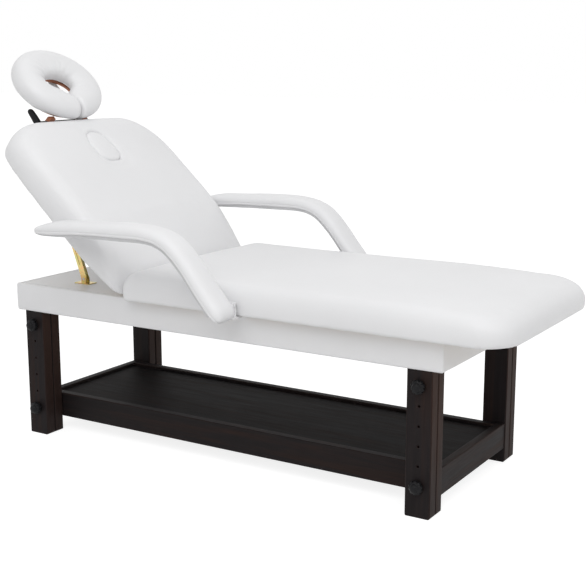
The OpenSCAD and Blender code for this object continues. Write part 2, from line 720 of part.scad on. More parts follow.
module strut_top_brackets() {
    w = bar_t + 2 * gap + 2 * ear_t;
    h = back_panel_z - strut_top_up;
    color("#c8a83a") for (sy = [-1, 1]) at_strut_top(sy) {
        translate([-bracket_len / 2, -w / 2, h - bracket_t]) cube([bracket_len, w, bracket_t]);
        for (s = [-1, 1]) translate([0, s * (w - ear_t) / 2, 0]) rotate([-90, 0, 0]) ear(ear_r - over, h - over);
    }
}
module strut_top_pins() {
    color("#d8d8d4") for (sy = [-1, 1]) at_strut_top(sy) rotate([90, 0, 0])
        cylinder(d = strut_pin_d, h = bar_t + 2 * gap + 2 * ear_t + 2 * over, center = true);
}

// Armrests
arm_curve = curve([for (p = arm_stations) [p[0], p[1] + box_top_z - arm_ref_z, p[2], p[3]]], arm_steps);
arm_last = len(arm_curve) - 1;
tip_dir = unit([for (k = [0, 1]) arm_curve[0][k] - arm_curve[1][k]]);
end_dir = unit([for (k = [0, 1]) arm_curve[arm_last][k] - arm_curve[arm_last - 1][k]]);
end_angles = [30, 60, 80];
// Sections past both ends round the arm off
function cap_station(p, dir, a) = concat([p[0] + dir[0] * p[2] / 2 * sin(a), p[1] + dir[1] * p[2] / 2 * sin(a)],
    [p[2] * cos(a), cos(a) * 0.3 + 0.7]);
arm_sections = concat(
    [for (i = [len(end_angles) - 1:-1:0]) cap_station(arm_curve[0], tip_dir, end_angles[i])],
    [for (p = arm_curve) [p[0], p[1], p[2], 1]],
    [for (a = end_angles) cap_station(arm_curve[arm_last], end_dir, a)]);
function arm_ring(i) = let (p = arm_sections[i], n = side_of(arm_sections, i))
    [for (j = [0:arm_section_steps - 1]) let (a = 360 * j / arm_section_steps,
        y = arm_w / 2 * p[3] * signed_pow(cos(a), 0.62),
        h = p[2] / 2 * signed_pow(sin(a), sin(a) > 0 ? 0.85 : 0.5))
        [p[0] + n[0] * h, y, p[1] + n[1] * h]];
module arm_form() {
    count = len(arm_sections);
    a = arm_sections[0];
    b = arm_sections[count - 1];
    polyhedron(concat([for (i = [0:count - 1]) each arm_ring(i)], [[a[0], 0, a[1]], [b[0], 0, b[1]]]),
        ring_faces(count, arm_section_steps));
}
// Side view of the board: along the underside, thick round the pivot
module arm_board_profile() {
    low = [for (i = [0:arm_last]) let (p = arm_curve[i], n = side_of(arm_curve, i))
        [p[0] - n[0] * (p[2] / 2 - over), p[1] - n[1] * (p[2] / 2 - over)]];
    high = [for (i = [arm_last:-1:0]) let (p = arm_curve[i], n = side_of(arm_curve, i))
        [p[0] - n[0] * (p[2] / 2 - p[3]), p[1] - n[1] * (p[2] / 2 - p[3])]];
    polygon(concat(low, high));
}
module arm_board_solid() {
    rotate([90, 0, 0]) linear_extrude(arm_w - 2 * arm_edge_in, center = true) arm_board_profile();
}
module arm_bore(r) {
    rotate([90, 0, 0]) translate([arm_x, arm_z, 0]) cylinder(r = r, h = arm_bolt_reach + arm_w, center = true);
}
module at_arm(sy) {
    translate([0, sy * (arm_in_y + arm_w / 2), 0]) children();
}
module arm_board(sy) {
    color("#9a7650") at_arm(sy) difference() {
        arm_board_solid();
        translate([0, -sy * (arm_w / 2 + arm_w / 6), 0]) arm_bore(arm_bolt_d / 2 + run_fit);
    }
}
module arm_pad(sy) {
    color("#f2f4f6") at_arm(sy) difference() {
        arm_form();
        arm_board_solid();
        translate([0, -sy * (arm_w / 2 + arm_w / 6), 0]) arm_bore(arm_bolt_d / 2 + gap);
    }
}
module arm_brackets() {
    color("#9da0a2") for (sy = [-1, 1]) difference() {
        union() {
            translate([arm_x - arm_plate_w / 2, sy > 0 ? arm_foot_in_y : -arm_plate_in_y - arm_plate_t,
                box_top_z - arm_plate_t - gap])
                cube([arm_plate_w, arm_plate_in_y + arm_plate_t - arm_foot_in_y, arm_plate_t]);
            translate([arm_x - arm_plate_w / 2, sy > 0 ? arm_plate_in_y : -arm_plate_in_y - arm_plate_t,
                box_top_z - arm_plate_t - gap])
                cube([arm_plate_w, arm_plate_t, arm_z + arm_plate_top - box_top_z + arm_plate_t]);
        }
        translate([arm_x, 0, arm_z]) rotate([90, 0, 0])
            cylinder(r = arm_bolt_d / 2 + run_fit, h = 2 * arm_in_y + arm_w, center = true);
    }
}
module arm_bolts() {
    r = arm_bolt_d / 2;
    y0 = arm_plate_in_y - arm_head_t - gap;
    color("#8f9294") for (sy = [-1, 1]) translate([arm_x, 0, arm_z]) rotate([sy > 0 ? -90 : 90, 0, 0])
        rotate_extrude() polygon([[0, y0], [arm_head_r, y0], [arm_head_r, y0 + arm_head_t], [r, y0 + arm_head_t],
            [r, arm_plate_in_y + arm_plate_t + gap], [arm_head_r, arm_plate_in_y + arm_plate_t + gap],
            [arm_head_r, arm_in_y - gap], [r, arm_in_y - gap], [r, arm_in_y + arm_bolt_reach / 2],
            [0, arm_in_y + arm_bolt_reach / 2]]);
}

// Head cradle
module cradle_rods() {
    color("#2a2a2a") on_back() for (sy = [-1, 1]) translate([-bar_at + bar_d / 2, sy * rod_y, bar_up]) rotate([0, 90, 0])
        cylinder(d = rod_d, h = rod_len);
}
module at_bar() {
    on_back() translate([-bar_at, 0, bar_up]) children();
}
module cradle_bar() {
    stud_len = lever_t + 3 * over;
    color("#1c1c1c") at_bar() rotate([90, 0, 0]) {
        cylinder(d = bar_d, h = 2 * bar_y, center = true);
        translate([0, 0, bar_y - over]) cylinder(r = bar_stud_r, h = stud_len + over);
    }
}
module in_ring() {
    on_back() translate([-ring_at, 0, ring_up]) rotate([0, ring_tilt, 0]) children();
}
ring_z = ring_t / 2;
// Place of the cross bar in the ring's own frame
bar_in_ring = let (dx = ring_at - bar_at, dz = bar_up - ring_up)
    [dx * cos(ring_tilt) - dz * sin(ring_tilt), dx * sin(ring_tilt) + dz * cos(ring_tilt)];
module cradle_cheeks() {
    plate_low = -ring_z - plate_t;
    loop_r = bar_d / 2 + cheek_wall;
    color("#7a4030") in_ring() for (sy = [-1, 1]) difference() {
        union() {
            translate([bar_in_ring[0], sy * (cheek_in_y + cheek_loop_w / 2), bar_in_ring[1]]) {
                rotate([90, 0, 0]) cylinder(r = loop_r, h = cheek_loop_w, center = true);
                translate([-cheek_t / 2, -cheek_loop_w / 2, 0]) cube([cheek_t, cheek_loop_w, plate_low - bar_in_ring[1]]);
            }
            translate([bar_in_ring[0] - cheek_t / 2, sy > 0 ? cheek_in_y : -cheek_out_y,
                bar_in_ring[1] + loop_r])
                cube([cheek_t, cheek_out_y - cheek_in_y, plate_low - bar_in_ring[1] - loop_r]);
        }
        translate([bar_in_ring[0], 0, bar_in_ring[1]]) rotate([90, 0, 0])
            cylinder(r = bar_d / 2 + run_fit, h = 2 * bar_y, center = true);
    }
}
plate_y = ring_w / 2 - plate_in;
plate_x = ring_len / 2 - plate_in;
module cradle_plate() {
    color("#7a4030") in_ring() translate([0, 0, -ring_z - plate_t]) linear_extrude(plate_t) difference() {
        polygon(ellipse_arc(0, 0, plate_x, plate_y, 0, 360 - 360 / ring_steps, ring_steps - 1));
        polygon(ellipse_arc(0, 0, plate_hole_x, plate_hole_y, 0, 360 - 360 / ring_steps, ring_steps - 1));
    }
}
module cradle_strap() {
    z = -ring_z - plate_t - gap;
    far = plate_x - plate_in;
    near = bar_in_ring[0] + bar_d / 2 + gap;
    color("#d5d8da") in_ring() translate([0, strap_y + strap_w / 2, 0]) rotate([90, 0, 0])
        linear_extrude(strap_w, center = true)
        polygon([[-far, z], [near + strap_t, z], [near + strap_t, bar_in_ring[1]], [near, bar_in_ring[1]],
            [near, z - strap_t], [-far, z - strap_t]]);
}
module cradle_lever() {
    color("#141414") at_bar() rotate([90, 0, 0]) translate([0, 0, bar_y + gap]) difference() {
        linear_extrude(lever_t) hull() {
            circle(r = lever_r);
            translate([-lever_len * cos(lever_angle), lever_len * sin(lever_angle)]) circle(r = lever_tip_r);
        }
        translate([0, 0, -over]) cylinder(r = bar_stud_r + run_fit, h = lever_t + 2 * over);
    }
}
// The ring cushion: a roll swept round an oval, open at a slit towards the backrest
function ring_section(i) = let (half = asin(slit_w / ring_w), a = half + (360 - 2 * half) * i / ring_steps,
    cx = ring_len / 2 - roll_w / 2, cy = ring_w / 2 - roll_w / 2,
    c = [cx * cos(a), cy * sin(a)], n = unit([cos(a) * cy, sin(a) * cx]))
    [for (j = [0:ring_section_steps - 1]) let (b = 360 * j / ring_section_steps,
        r = roll_w / 2 * signed_pow(cos(b), 0.95), h = ring_z * signed_pow(sin(b), 0.95))
        [c[0] + n[0] * r, c[1] + n[1] * r, h]];
module headrest_cushion() {
    half = asin(slit_w / ring_w);
    a = [(ring_len / 2 - roll_w / 2) * cos(half), (ring_w / 2 - roll_w / 2) * sin(half), 0];
    color("#f2f4f6") in_ring() polyhedron(concat([for (i = [0:ring_steps]) each ring_section(i)],
        [a, [a[0], -a[1], 0]]), ring_faces(ring_steps + 1, ring_section_steps));
}

inner_leg(-1, -1);  // inner_leg_head_right
inner_leg(-1, 1);  // inner_leg_head_left
inner_leg(1, -1);  // inner_leg_foot_right
inner_leg(1, 1);  // inner_leg_foot_left
outer_leg(-1, -1);  // outer_leg_head_right
outer_leg(-1, 1);  // outer_leg_head_left
outer_leg(1, -1);  // outer_leg_foot_right
outer_leg(1, 1);  // outer_leg_foot_left
shelf_side_rail(-1);  // shelf_rail_right
shelf_side_rail(1);  // shelf_rail_left
shelf_end_rail(-1);  // shelf_rail_head
shelf_end_rail(1);  // shelf_rail_foot
shelf_panel();
box_side(-1);  // box_side_right
box_side(1);  // box_side_left
box_end(-1);  // box_end_head
box_end(1);  // box_end_foot
platform_panel();
seat_board();
seat_cushion();
back_rail_head();
back_rail_hinge();
back_side_rail(-1);  // back_rail_right
back_side_rail(1);  // back_rail_left
back_panel();
back_cushion();
face_plug();
hinge_box_leaves();
hinge_back_leaves();
hinge_pins();
strut_base_brackets();
strut_base_pins();
strut_channel(-1);  // strut_channel_right
strut_channel(1);  // strut_channel_left
strut_bar(-1);  // strut_bar_right
strut_bar(1);  // strut_bar_left
strut_top_brackets();
strut_top_pins();
arm_brackets();
arm_bolts();
arm_board(-1);  // arm_board_right
arm_board(1);  // arm_board_left
arm_pad(-1);  // arm_pad_right
arm_pad(1);  // arm_pad_left
cradle_rods();
cradle_bar();
cradle_cheeks();
cradle_plate();
cradle_strap();
cradle_lever();
headrest_cushion();
placed_knob(-1, -1, hole_low_z);  // knob_head_right_low
placed_knob(-1, -1, hole_high_z);  // knob_head_right_high
placed_knob(-1, 1, hole_low_z);  // knob_head_left_low
placed_knob(-1, 1, hole_high_z);  // knob_head_left_high
placed_knob(1, -1, hole_low_z);  // knob_foot_right_low
placed_knob(1, -1, hole_high_z);  // knob_foot_right_high
placed_knob(1, 1, hole_low_z);  // knob_foot_left_low
placed_knob(1, 1, hole_high_z);  // knob_foot_left_high
clamp_nuts();
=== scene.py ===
"""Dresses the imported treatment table: upholstery, wood and metal finishes, and a plain studio."""

import json
import math

import bmesh
import bpy
import numpy as np
from bpy.props import FloatProperty, FloatVectorProperty, IntProperty, PointerProperty
from mathutils import Matrix, Vector


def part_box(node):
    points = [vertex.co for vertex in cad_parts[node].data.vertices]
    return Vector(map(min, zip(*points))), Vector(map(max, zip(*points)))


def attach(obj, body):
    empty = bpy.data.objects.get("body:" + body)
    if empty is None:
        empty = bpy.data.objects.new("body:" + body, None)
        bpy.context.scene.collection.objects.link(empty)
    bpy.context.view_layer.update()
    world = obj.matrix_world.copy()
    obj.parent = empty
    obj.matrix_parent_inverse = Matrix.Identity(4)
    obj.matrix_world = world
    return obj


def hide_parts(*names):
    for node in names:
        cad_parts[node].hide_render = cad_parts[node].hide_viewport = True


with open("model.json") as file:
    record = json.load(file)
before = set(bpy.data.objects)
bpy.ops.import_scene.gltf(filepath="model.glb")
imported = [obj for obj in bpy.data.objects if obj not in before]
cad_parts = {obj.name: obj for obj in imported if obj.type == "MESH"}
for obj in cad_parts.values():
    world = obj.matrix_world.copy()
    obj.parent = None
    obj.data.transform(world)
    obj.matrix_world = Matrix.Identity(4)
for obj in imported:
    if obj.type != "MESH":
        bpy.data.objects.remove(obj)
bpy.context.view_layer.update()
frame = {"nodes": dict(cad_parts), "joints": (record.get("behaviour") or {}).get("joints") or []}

bl_info = {
    "name": "Treatment table",
    "version": (1, 0, 0),
    "blender": (4, 5, 0),
    "location": "3D View > Sidebar > Table",
    "description": "Upholstery, wood and metal finishes for a padded treatment table",
    "category": "Object",
}

SIDES = (("right", -1), ("left", 1))
ENDS = ("head", "foot")
# The axes that a grain may follow
LENGTHWISE, CROSSWISE, UPRIGHT = 0, 1, 2
# Thickness of one ply, and the webbing's spacing of ribs and of weft
PLY, RIB, WEFT = 0.0018, 0.0016, 0.0011
# Middle line of an armrest seen from the side, from its tip to its pivot: x, z and thickness in metres
ARM_LINE = (
    (-0.553, 0.763, 0.024), (-0.532, 0.764, 0.034), (-0.480, 0.7680, 0.045), (-0.317, 0.775, 0.049),
    (-0.200, 0.778, 0.052), (-0.130, 0.778, 0.050), (-0.075, 0.771, 0.047), (-0.030, 0.751, 0.045),
    (0.006, 0.720, 0.044), (0.046, 0.677, 0.045), (0.090, 0.622, 0.048), (0.138, 0.567, 0.050),
)


def joint_place(name):
    """Where a joint's axis is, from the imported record."""
    return Vector(next(j["pos_m"] for j in frame["joints"] if j["name"] == name))


def tilted(angle):
    """The directions headwards and upwards of a pad that is tilted back."""
    return np.array([-math.cos(angle), 0, math.sin(angle)]), np.array([math.sin(angle), 0, math.cos(angle)])


HINGE = joint_place("backrest_tilt")
BACK_LIFT = next(j["axis"] for j in frame["joints"] if j["name"] == "face_plug_lift")
BACK_TILT = math.atan2(BACK_LIFT[0], BACK_LIFT[2])
RING_TILT = BACK_TILT + math.radians(4)
DOWN = np.array([0, 0, -1])
BACK_ALONG, BACK_UP = tilted(BACK_TILT)
RING_ALONG, RING_UP = tilted(RING_TILT)
# How far the seat's and the backrest's pads draw back from each other at the hinge
HINGE_ROOM = 0.002
# Spacing of the points of each pad that is simulated
SEAT_VOXEL, BACK_VOXEL, HEAD_VOXEL, PLUG_VOXEL = 0.0065, 0.006, 0.0045, 0.004
# Points of a CAD node's mesh that are this close are one point
SAME_PLACE = 0.00002
# How squarely a face must look at its board to stay on it while the cover is blown up
HELD_SLOPE = 0.55
# The most that the plug's and the armrests' covers move, and how much fuller every pad starts than its solid
PLUG_SWELL, ARM_SWELL, PAD_FULLNESS = 0.0032, 0.0025, 0.0012
# Half length and half width of the ring cushion, and of the backrest's opening with its crease
RING_HALF = (0.158, 0.190)
FACE_HOLE_HALF = (0.075, 0.057)
# Distance of the armrests' middles from the table's middle
ARM_Y = 0.45


class UpholsterySettings(bpy.types.PropertyGroup):
    """Sizes and colours of the padded pieces."""

    colour: FloatVectorProperty(
        name="Vinyl colour", description="Colour of the vinyl", subtype="COLOR",
        default=(0.80, 0.80, 0.81), min=0, max=1,
    )
    # The grey of this cloth is partly painted shade: under the armrests it stands for the shade beneath the
    # pads' overhang, and under the backrest it is a pale dust cover
    lining_and_painted_shade: FloatVectorProperty(
        name="Lining colour", description="Colour of the lining under the backrest and the armrests",
        subtype="COLOR", default=(0.60, 0.60, 0.61), min=0, max=1,
    )
    grain: FloatProperty(
        name="Grain size", description="Width of one pebble of the vinyl's grain",
        default=0.0011, min=0.0004, max=0.004, unit="LENGTH",
    )
    pressure: FloatProperty(
        name="Pressure", description="How hard the foam pushes the cover out while it is simulated",
        default=4.0, min=0.0, max=10.0,
    )
    frames: IntProperty(
        name="Frames", description="How many frames the cover is simulated for", default=20, min=5, max=60,
    )
    swell: FloatProperty(
        name="Swell", description="The most that a cover may move outwards",
        default=0.004, min=0.0, max=0.02, unit="LENGTH",
    )
    arm_width: FloatProperty(
        name="Armrest width", description="Width of the armrests' padding", default=0.100, min=0.08, max=0.12,
        unit="LENGTH",
    )
    bend_crown: FloatProperty(
        name="Bend crown", description="How much fuller the armrests' padding is over their bends",
        default=0.005, min=0.0, max=0.012, unit="LENGTH",
    )
    board_band: FloatProperty(
        name="Board edge", description="How much of the armrests' boards shows below their padding",
        default=0.010, min=0.0, max=0.011, unit="LENGTH",
    )
    shrink: FloatProperty(
        name="Start inset", description="How far inside its final size a cover starts",
        default=0.003, min=0.0, max=0.01, unit="LENGTH",
    )


class WoodSettings(bpy.types.PropertyGroup):
    """Colours of the wooden pieces."""

    stain: FloatVectorProperty(
        name="Stain", description="Colour of the dark stained wood", subtype="COLOR",
        default=(0.0150, 0.0118, 0.0122), min=0, max=1,
    )
    stain_warm: FloatVectorProperty(
        name="Warm stain", description="Colour of the stain where the light grain shows through",
        subtype="COLOR", default=(0.043, 0.0200, 0.0130), min=0, max=1,
    )
    plywood: FloatVectorProperty(
        name="Plywood", description="Colour of the bare plywood", subtype="COLOR",
        default=(0.66, 0.55, 0.41), min=0, max=1,
    )
    cradle: FloatVectorProperty(
        name="Cradle plywood", description="Colour of the stained plywood under the head cushion",
        subtype="COLOR", default=(0.60, 0.235, 0.125), min=0, max=1,
    )
    cradle_opening: FloatVectorProperty(
        name="Cradle opening", description="Half length and half width of the opening in the cradle's plate",
        size=2, default=(0.060, 0.100), min=0.04, max=0.11, unit="LENGTH",
    )


class MetalSettings(bpy.types.PropertyGroup):
    """Colours of the metal and plastic pieces."""

    zinc: FloatVectorProperty(
        name="Yellow zinc", description="Colour of the plated struts", subtype="COLOR",
        default=(0.72, 0.58, 0.24), min=0, max=1,
    )
    steel: FloatVectorProperty(
        name="Steel", description="Colour of the bright steel", subtype="COLOR",
        default=(0.62, 0.62, 0.61), min=0, max=1,
    )
    black: FloatVectorProperty(
        name="Black", description="Colour of the black bar, lever and knobs", subtype="COLOR",
        default=(0.013, 0.013, 0.015), min=0, max=1,
    )
    knob_width: FloatProperty(
        name="Knob width", description="Width of the knobs across their rims",
        default=0.043, min=0.034, max=0.055, unit="LENGTH",
    )


class StageSettings(bpy.types.PropertyGroup):
    """Floor, light and camera."""

    floor: FloatProperty(
        name="Floor size", description="Length of the floor's sides", default=60.0, min=10.0, unit="LENGTH",
    )
    key: FloatProperty(
        name="Key light", description="Power of the large soft lamp", default=42.0, min=0.0, unit="POWER",
    )
    world: FloatProperty(
        name="Sky light", description="Strength of the light from all around", default=0.60, min=0.0,
    )
    lens: FloatProperty(
        name="Lens", description="Focal length of the camera", default=0.071185, min=0.01, unit="CAMERA",
    )


# Selecting, copying and finishing


def deselect_all():
    active = bpy.context.view_layer.objects.active
    if active and active.mode != "OBJECT":
        bpy.ops.object.mode_set(mode="OBJECT")
    bpy.ops.object.select_all(action="DESELECT")


def activate(obj):
    deselect_all()
    obj.hide_viewport = False
    obj.select_set(True)
    bpy.context.view_layer.objects.active = obj


def add_object(name, data):
    obj = bpy.data.objects.new(name, data)
    bpy.context.scene.collection.objects.link(obj)
    return obj


def edit_all(obj):
    """Opens a piece for editing with all of it selected."""
    activate(obj)
    bpy.ops.object.mode_set(mode="EDIT")
    bpy.ops.mesh.select_all(action="SELECT")


def apply_modifier(obj, kind, **values):
    activate(obj)
    modifier = obj.modifiers.new(kind.title(), kind)
    for name, value in values.items():
        setattr(modifier, name, value)
    bpy.ops.object.modifier_apply(modifier=modifier.name)


def round_edges(obj, width, segments):
    sharp = math.radians(40)
    apply_modifier(obj, "BEVEL", width=width, segments=segments, limit_method="ANGLE", angle_limit=sharp)


def copy_node(node, name, quads=True):
    """A piece with its own copy of a CAD node's mesh, merged and with its triangles paired."""
    obj = add_object(name, frame["nodes"][node].data.copy())
    obj.data.name = name
    obj.data.materials.clear()
    edit_all(obj)
    bpy.ops.mesh.remove_doubles(threshold=SAME_PLACE)
    if quads:
        bpy.ops.mesh.tris_convert_to_quads(
            face_threshold=math.radians(50), shape_threshold=math.radians(120)
        )
    bpy.ops.object.mode_set(mode="OBJECT")
    return obj


def places(obj):
    co = np.empty(len(obj.data.vertices) * 3)
    obj.data.vertices.foreach_get("co", co)
    return co.reshape(-1, 3)


def set_places(obj, co):
    obj.data.vertices.foreach_set("co", np.asarray(co, float).ravel())
    obj.data.update()


def directions(obj):
    normals = np.empty(len(obj.data.vertices) * 3)
    obj.data.vertex_normals.foreach_get("vector", normals)
    return normals.reshape(-1, 3)


def rising(values, width):
    """A share that rises from 0, where the values are 0, to 1 at the width."""
    return np.clip(values / width, 0, 1)


def bell(values, width):
    """A share that is 1 where the values are 0, and fades on both sides."""
    return np.exp(-(values / width) ** 2)


def smooth_faces(obj, angle=None):
    activate(obj)
    if angle is None:
        bpy.ops.object.shade_smooth()
    else:
        bpy.ops.object.shade_smooth_by_angle(angle=math.radians(angle))


def paint(mesh, name):
    """Gives a mesh one of the finishes."""
    mesh.materials.clear()
    mesh.materials.append(finish(name))


def coat(name, *nodes):
    """Gives CAD nodes, which keep their shapes, one of the finishes."""
    for node in nodes:
        paint(frame["nodes"][node].data, name)


def finish_piece(obj, body, slot, name, *nodes):
    """Gives a piece its finish, hangs it on the body that it rides on, and hides the CAD nodes that it takes
    the place of.
    """
    paint(obj.data, name)
    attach(obj, body)
    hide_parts(*nodes)


def finish_pad(obj, body, node):
    """Finishes a padded piece, which is white vinyl over foam."""
    finish_piece(obj, body, "white_upholstery", "white vinyl", node)


def loft(name, rings):
    """A closed form through rings of points, with its faces turned outwards."""
    count = len(rings[0])
    faces = [
        (r * count + k, r * count + (k + 1) % count, (r + 1) * count + (k + 1) % count, (r + 1) * count + k)
        for r in range(len(rings) - 1)
        for k in range(count)
    ]
    faces.append(tuple(range(count - 1, -1, -1)))
    faces.append(tuple((len(rings) - 1) * count + k for k in range(count)))
    mesh = bpy.data.meshes.new(name)
    mesh.from_pydata([tuple(p) for ring in rings for p in ring], [], faces)
    form = add_object(name, mesh)
    edit_all(form)
    bpy.ops.mesh.normals_make_consistent(inside=False)
    bpy.ops.object.mode_set(mode="OBJECT")
    return form


# Materials. Each maker builds its nodes in a tree and gives the inputs of the tree's shader


def bare_tree(owner, output):
    """The node tree of a material or a world, with nothing but its output node."""
    owner.use_nodes = True
    owner.node_tree.nodes.clear()
    return owner.node_tree, owner.node_tree.nodes.new("ShaderNode" + output)


def set_inputs(node, **inputs):
    """Links or sets a node's inputs, named with underscores for spaces or by i and their number."""
    for name, value in inputs.items():
        numbered = name[0] == "i" and name[1:].isdigit()
        socket = node.inputs[int(name[1:]) if numbered else name.replace("_", " ")]
        if isinstance(value, bpy.types.NodeSocket):
            node.id_data.links.new(value, socket)
        else:
            socket.default_value = value
    return node


def add_node(tree, kind, settings=None, **inputs):
    """A shader node with its settings and inputs."""
    made = tree.nodes.new("ShaderNode" + kind)
    for name, value in (settings or {}).items():
        setattr(made, name, value)
    return set_inputs(made, **inputs)


def object_places(tree, scale=(1, 1, 1), turn=(0, 0, 0)):
    where = add_node(tree, "TexCoord").outputs["Object"]
    return add_node(tree, "Mapping", Vector=where, Scale=scale, Rotation=turn).outputs["Vector"]


def part(vector, axis):
    return add_node(vector.id_data, "SeparateXYZ", Vector=vector).outputs[axis]


def noise(where, scale, detail=3.0, rough=0.5, distortion=0.0):
    made = add_node(where.id_data, "TexNoise", Vector=where, Scale=scale, Detail=detail)
    return set_inputs(made, Roughness=rough, Distortion=distortion).outputs["Fac"]


def ramp(value, stops):
    made = add_node(value.id_data, "ValToRGB", Fac=value)
    elements = made.color_ramp.elements
    while len(elements) < len(stops):
        elements.new(0.5)
    for element, (at, colour) in zip(elements, stops):
        element.position = at
        element.color = (*colour, 1.0)
    return made.outputs["Color"]


def spread(value, low, high, from_low=0.3, from_high=0.7):
    made = add_node(value.id_data, "MapRange", Value=value, From_Min=from_low, From_Max=from_high)
    return set_inputs(made, To_Min=low, To_Max=high).outputs["Result"]


def blend_colours(share, a, b):
    a, b = (value if isinstance(value, bpy.types.NodeSocket) else (*value, 1.0) for value in (a, b))
    return add_node(share.id_data, "Mix", {"data_type": "RGBA"}, i0=share, i6=a, i7=b).outputs[2]


def arithmetic(kind, a, b=0.0):
    return add_node(a.id_data, "Math", {"operation": kind}, i0=a, i1=b).outputs[0]


def bump(height, distance, strength, below=None):
    made = add_node(height.id_data, "Bump", Height=height, Distance=distance, Strength=strength)
    return set_inputs(made, **({} if below is None else {"Normal": below})).outputs["Normal"]


def rays(tree, first, *others):
    """1 for rays of these kinds and 0 for all others."""
    path = add_node(tree, "LightPath")
    share = path.outputs[f"Is {first} Ray"]
    for kind in others:
        share = arithmetic("MAXIMUM", share, path.outputs[f"Is {kind} Ray"])
    return share


def stretched(along, slow, fast):
    """The scale of a pattern that is drawn out along one axis."""
    return tuple(slow if axis == along else fast for axis in range(3))


def tinted(colour, share):
    """A colour made darker or lighter."""
    return tuple(c * share for c in colour)


def mixed(a, b, share):
    """The colour between two, share of the way from a to b."""
    return tuple(p + (q - p) * share for p, q in zip(a, b))


def vinyl(tree, colour, grain, shade=1.0):
    """Soft coated vinyl with a fine pebble grain, faint mottling and low waves."""
    where = object_places(tree)
    pebbles = add_node(
        tree, "TexVoronoi", {"feature": "SMOOTH_F1"}, Vector=where, Scale=1 / grain, Smoothness=0.6
    ).outputs["Distance"]
    pores = noise(where, 2.4 / grain, 2.0)
    waves = noise(where, 9.0, 2.0, 0.4)
    broad = noise(where, 2.2, 3.0, 0.55)
    # A shade below 1 darkens the whole vinyl: the box's copy uses it as painted shade on its sides and its
    # platform
    tones = [(at, tinted(colour, tone * shade)) for at, tone in ((0.30, 0.965), (0.52, 0.99), (0.72, 1.015))]
    cells = spread(pebbles, 0.0, 0.05, 0.35, 0.75)
    soft = bump(waves, 0.0022, 0.35)
    fine = bump(pebbles, 0.00022, 0.45, soft)
    return dict(
        Base_Color=blend_colours(cells, ramp(broad, tones), tinted(colour, 0.72)),
        Roughness=arithmetic("ADD", spread(waves, 0.36, 0.44), spread(pores, -0.03, 0.04)),
        Specular_IOR_Level=0.42, Sheen_Weight=0.06, Sheen_Roughness=0.5,
        Normal=bump(pores, 0.00008, 0.3, fine),
    )


def stained_wood(tree, settings, along, gloss=0.10, depth=1.0):
    """Espresso-stained wood, rubbed lighter on its edges. On posts the end faces are warmer, partly their own
    tone and partly painted light that grows higher up.
    """
    figure = noise(object_places(tree, stretched(along, 1.6, 30.0)), 1.0, 5.0, 0.6, 1.1)
    streaks = noise(object_places(tree, stretched(along, 9.0, 420.0)), 1.0, 3.0, 0.65)
    cloudy = noise(object_places(tree), 3.0, 2.0)
    # A depth below 1 darkens the whole stain, which is painted shade on the rails and the shelf
    dark, warm = tinted(settings.stain, depth), tinted(settings.stain_warm, depth)
    lighter = [(at, mixed(dark, warm, share)) for at, share in ((0.66, 0.35), (0.86, 0.7))]
    grain_colour = ramp(figure, [(0.28, tinted(dark, 0.74)), (0.48, dark), *lighter])
    streaked = blend_colours(spread(streaks, 0.0, 0.38, 0.45, 0.75), grain_colour, tinted(dark, 0.5))
    facing = add_node(tree, "NewGeometry").outputs["Normal"]
    colour = streaked
    if along == UPRIGHT:
        # Warmer end faces on the posts: partly the end strips' own tone, partly painted light, since it rises
        # with height
        across = arithmetic("ABSOLUTE", part(facing, 0))
        height = part(object_places(tree), 2)
        end_warmth_and_painted_top_light = arithmetic(
            "MULTIPLY", spread(across, 0.0, 0.75, 0.5, 1.0), spread(height, 0.35, 1.0, 0.05, 0.42)
        )
        colour = blend_colours(end_warmth_and_painted_top_light, streaked, warm)
    rounded = add_node(tree, "Bevel", {"samples": 4}, Radius=0.0022)
    worn = add_node(tree, "VectorMath", {"operation": "DOT_PRODUCT"}, i0=rounded.outputs["Normal"], i1=facing)
    arris = spread(worn.outputs["Value"], 0.5, 0.0, 0.72, 0.985)
    rubbed = arithmetic("MULTIPLY", arris, spread(cloudy, 0.35, 1.0))
    return dict(
        Base_Color=blend_colours(rubbed, colour, tinted(warm, 1.7)),
        Roughness=arithmetic("ADD", spread(figure, 0.50, 0.60), spread(streaks, -0.02, 0.10)),
        Specular_IOR_Level=gloss,
        Normal=bump(streaks, 0.00022, 0.55, bump(figure, 0.0004, 0.4, rounded.outputs["Normal"])),
    )


def layered_wood(tree, colour, turn=0.0, rough=0.5, along=LENGTHWISE):
    """Plywood: a veneered face, and thin plies in turn light and dark on its edges."""
    where = object_places(tree, (1, 1, 1), (0, -turn, 0))
    grain_where = add_node(tree, "Mapping", Vector=where, Scale=stretched(along, 2.2, 26.0)).outputs["Vector"]
    figure = noise(grain_where, 1.0, 5.0, 0.55, 0.8)
    pale = tuple(min(1, c * 1.16 + 0.01) for c in colour)
    face = ramp(figure, [(0.30, tinted(colour, 0.72)), (0.50, colour), (0.74, pale)])
    height = part(where, 2)
    plies = arithmetic("SINE", arithmetic("MULTIPLY", height, math.pi / PLY))
    tones = [(0.0, tinted(colour, 0.42)), (1.0, tinted(colour, 1.12))]
    edge = ramp(spread(plies, 0, 1, -0.35, 0.35), tones)
    facing = add_node(tree, "NewGeometry").outputs["Normal"]
    turned = add_node(tree, "VectorRotate", {"rotation_type": "EULER_XYZ"}, Vector=facing)
    set_inputs(turned, Rotation=(0, -turn, 0))
    upright = arithmetic("ABSOLUTE", part(turned.outputs[0], 2))
    return dict(
        Base_Color=blend_colours(spread(upright, 0, 1, 0.5, 0.9), edge, face),
        Roughness=spread(figure, rough - 0.06, rough + 0.1),
        Normal=bump(figure, 0.0004, 0.35),
    )


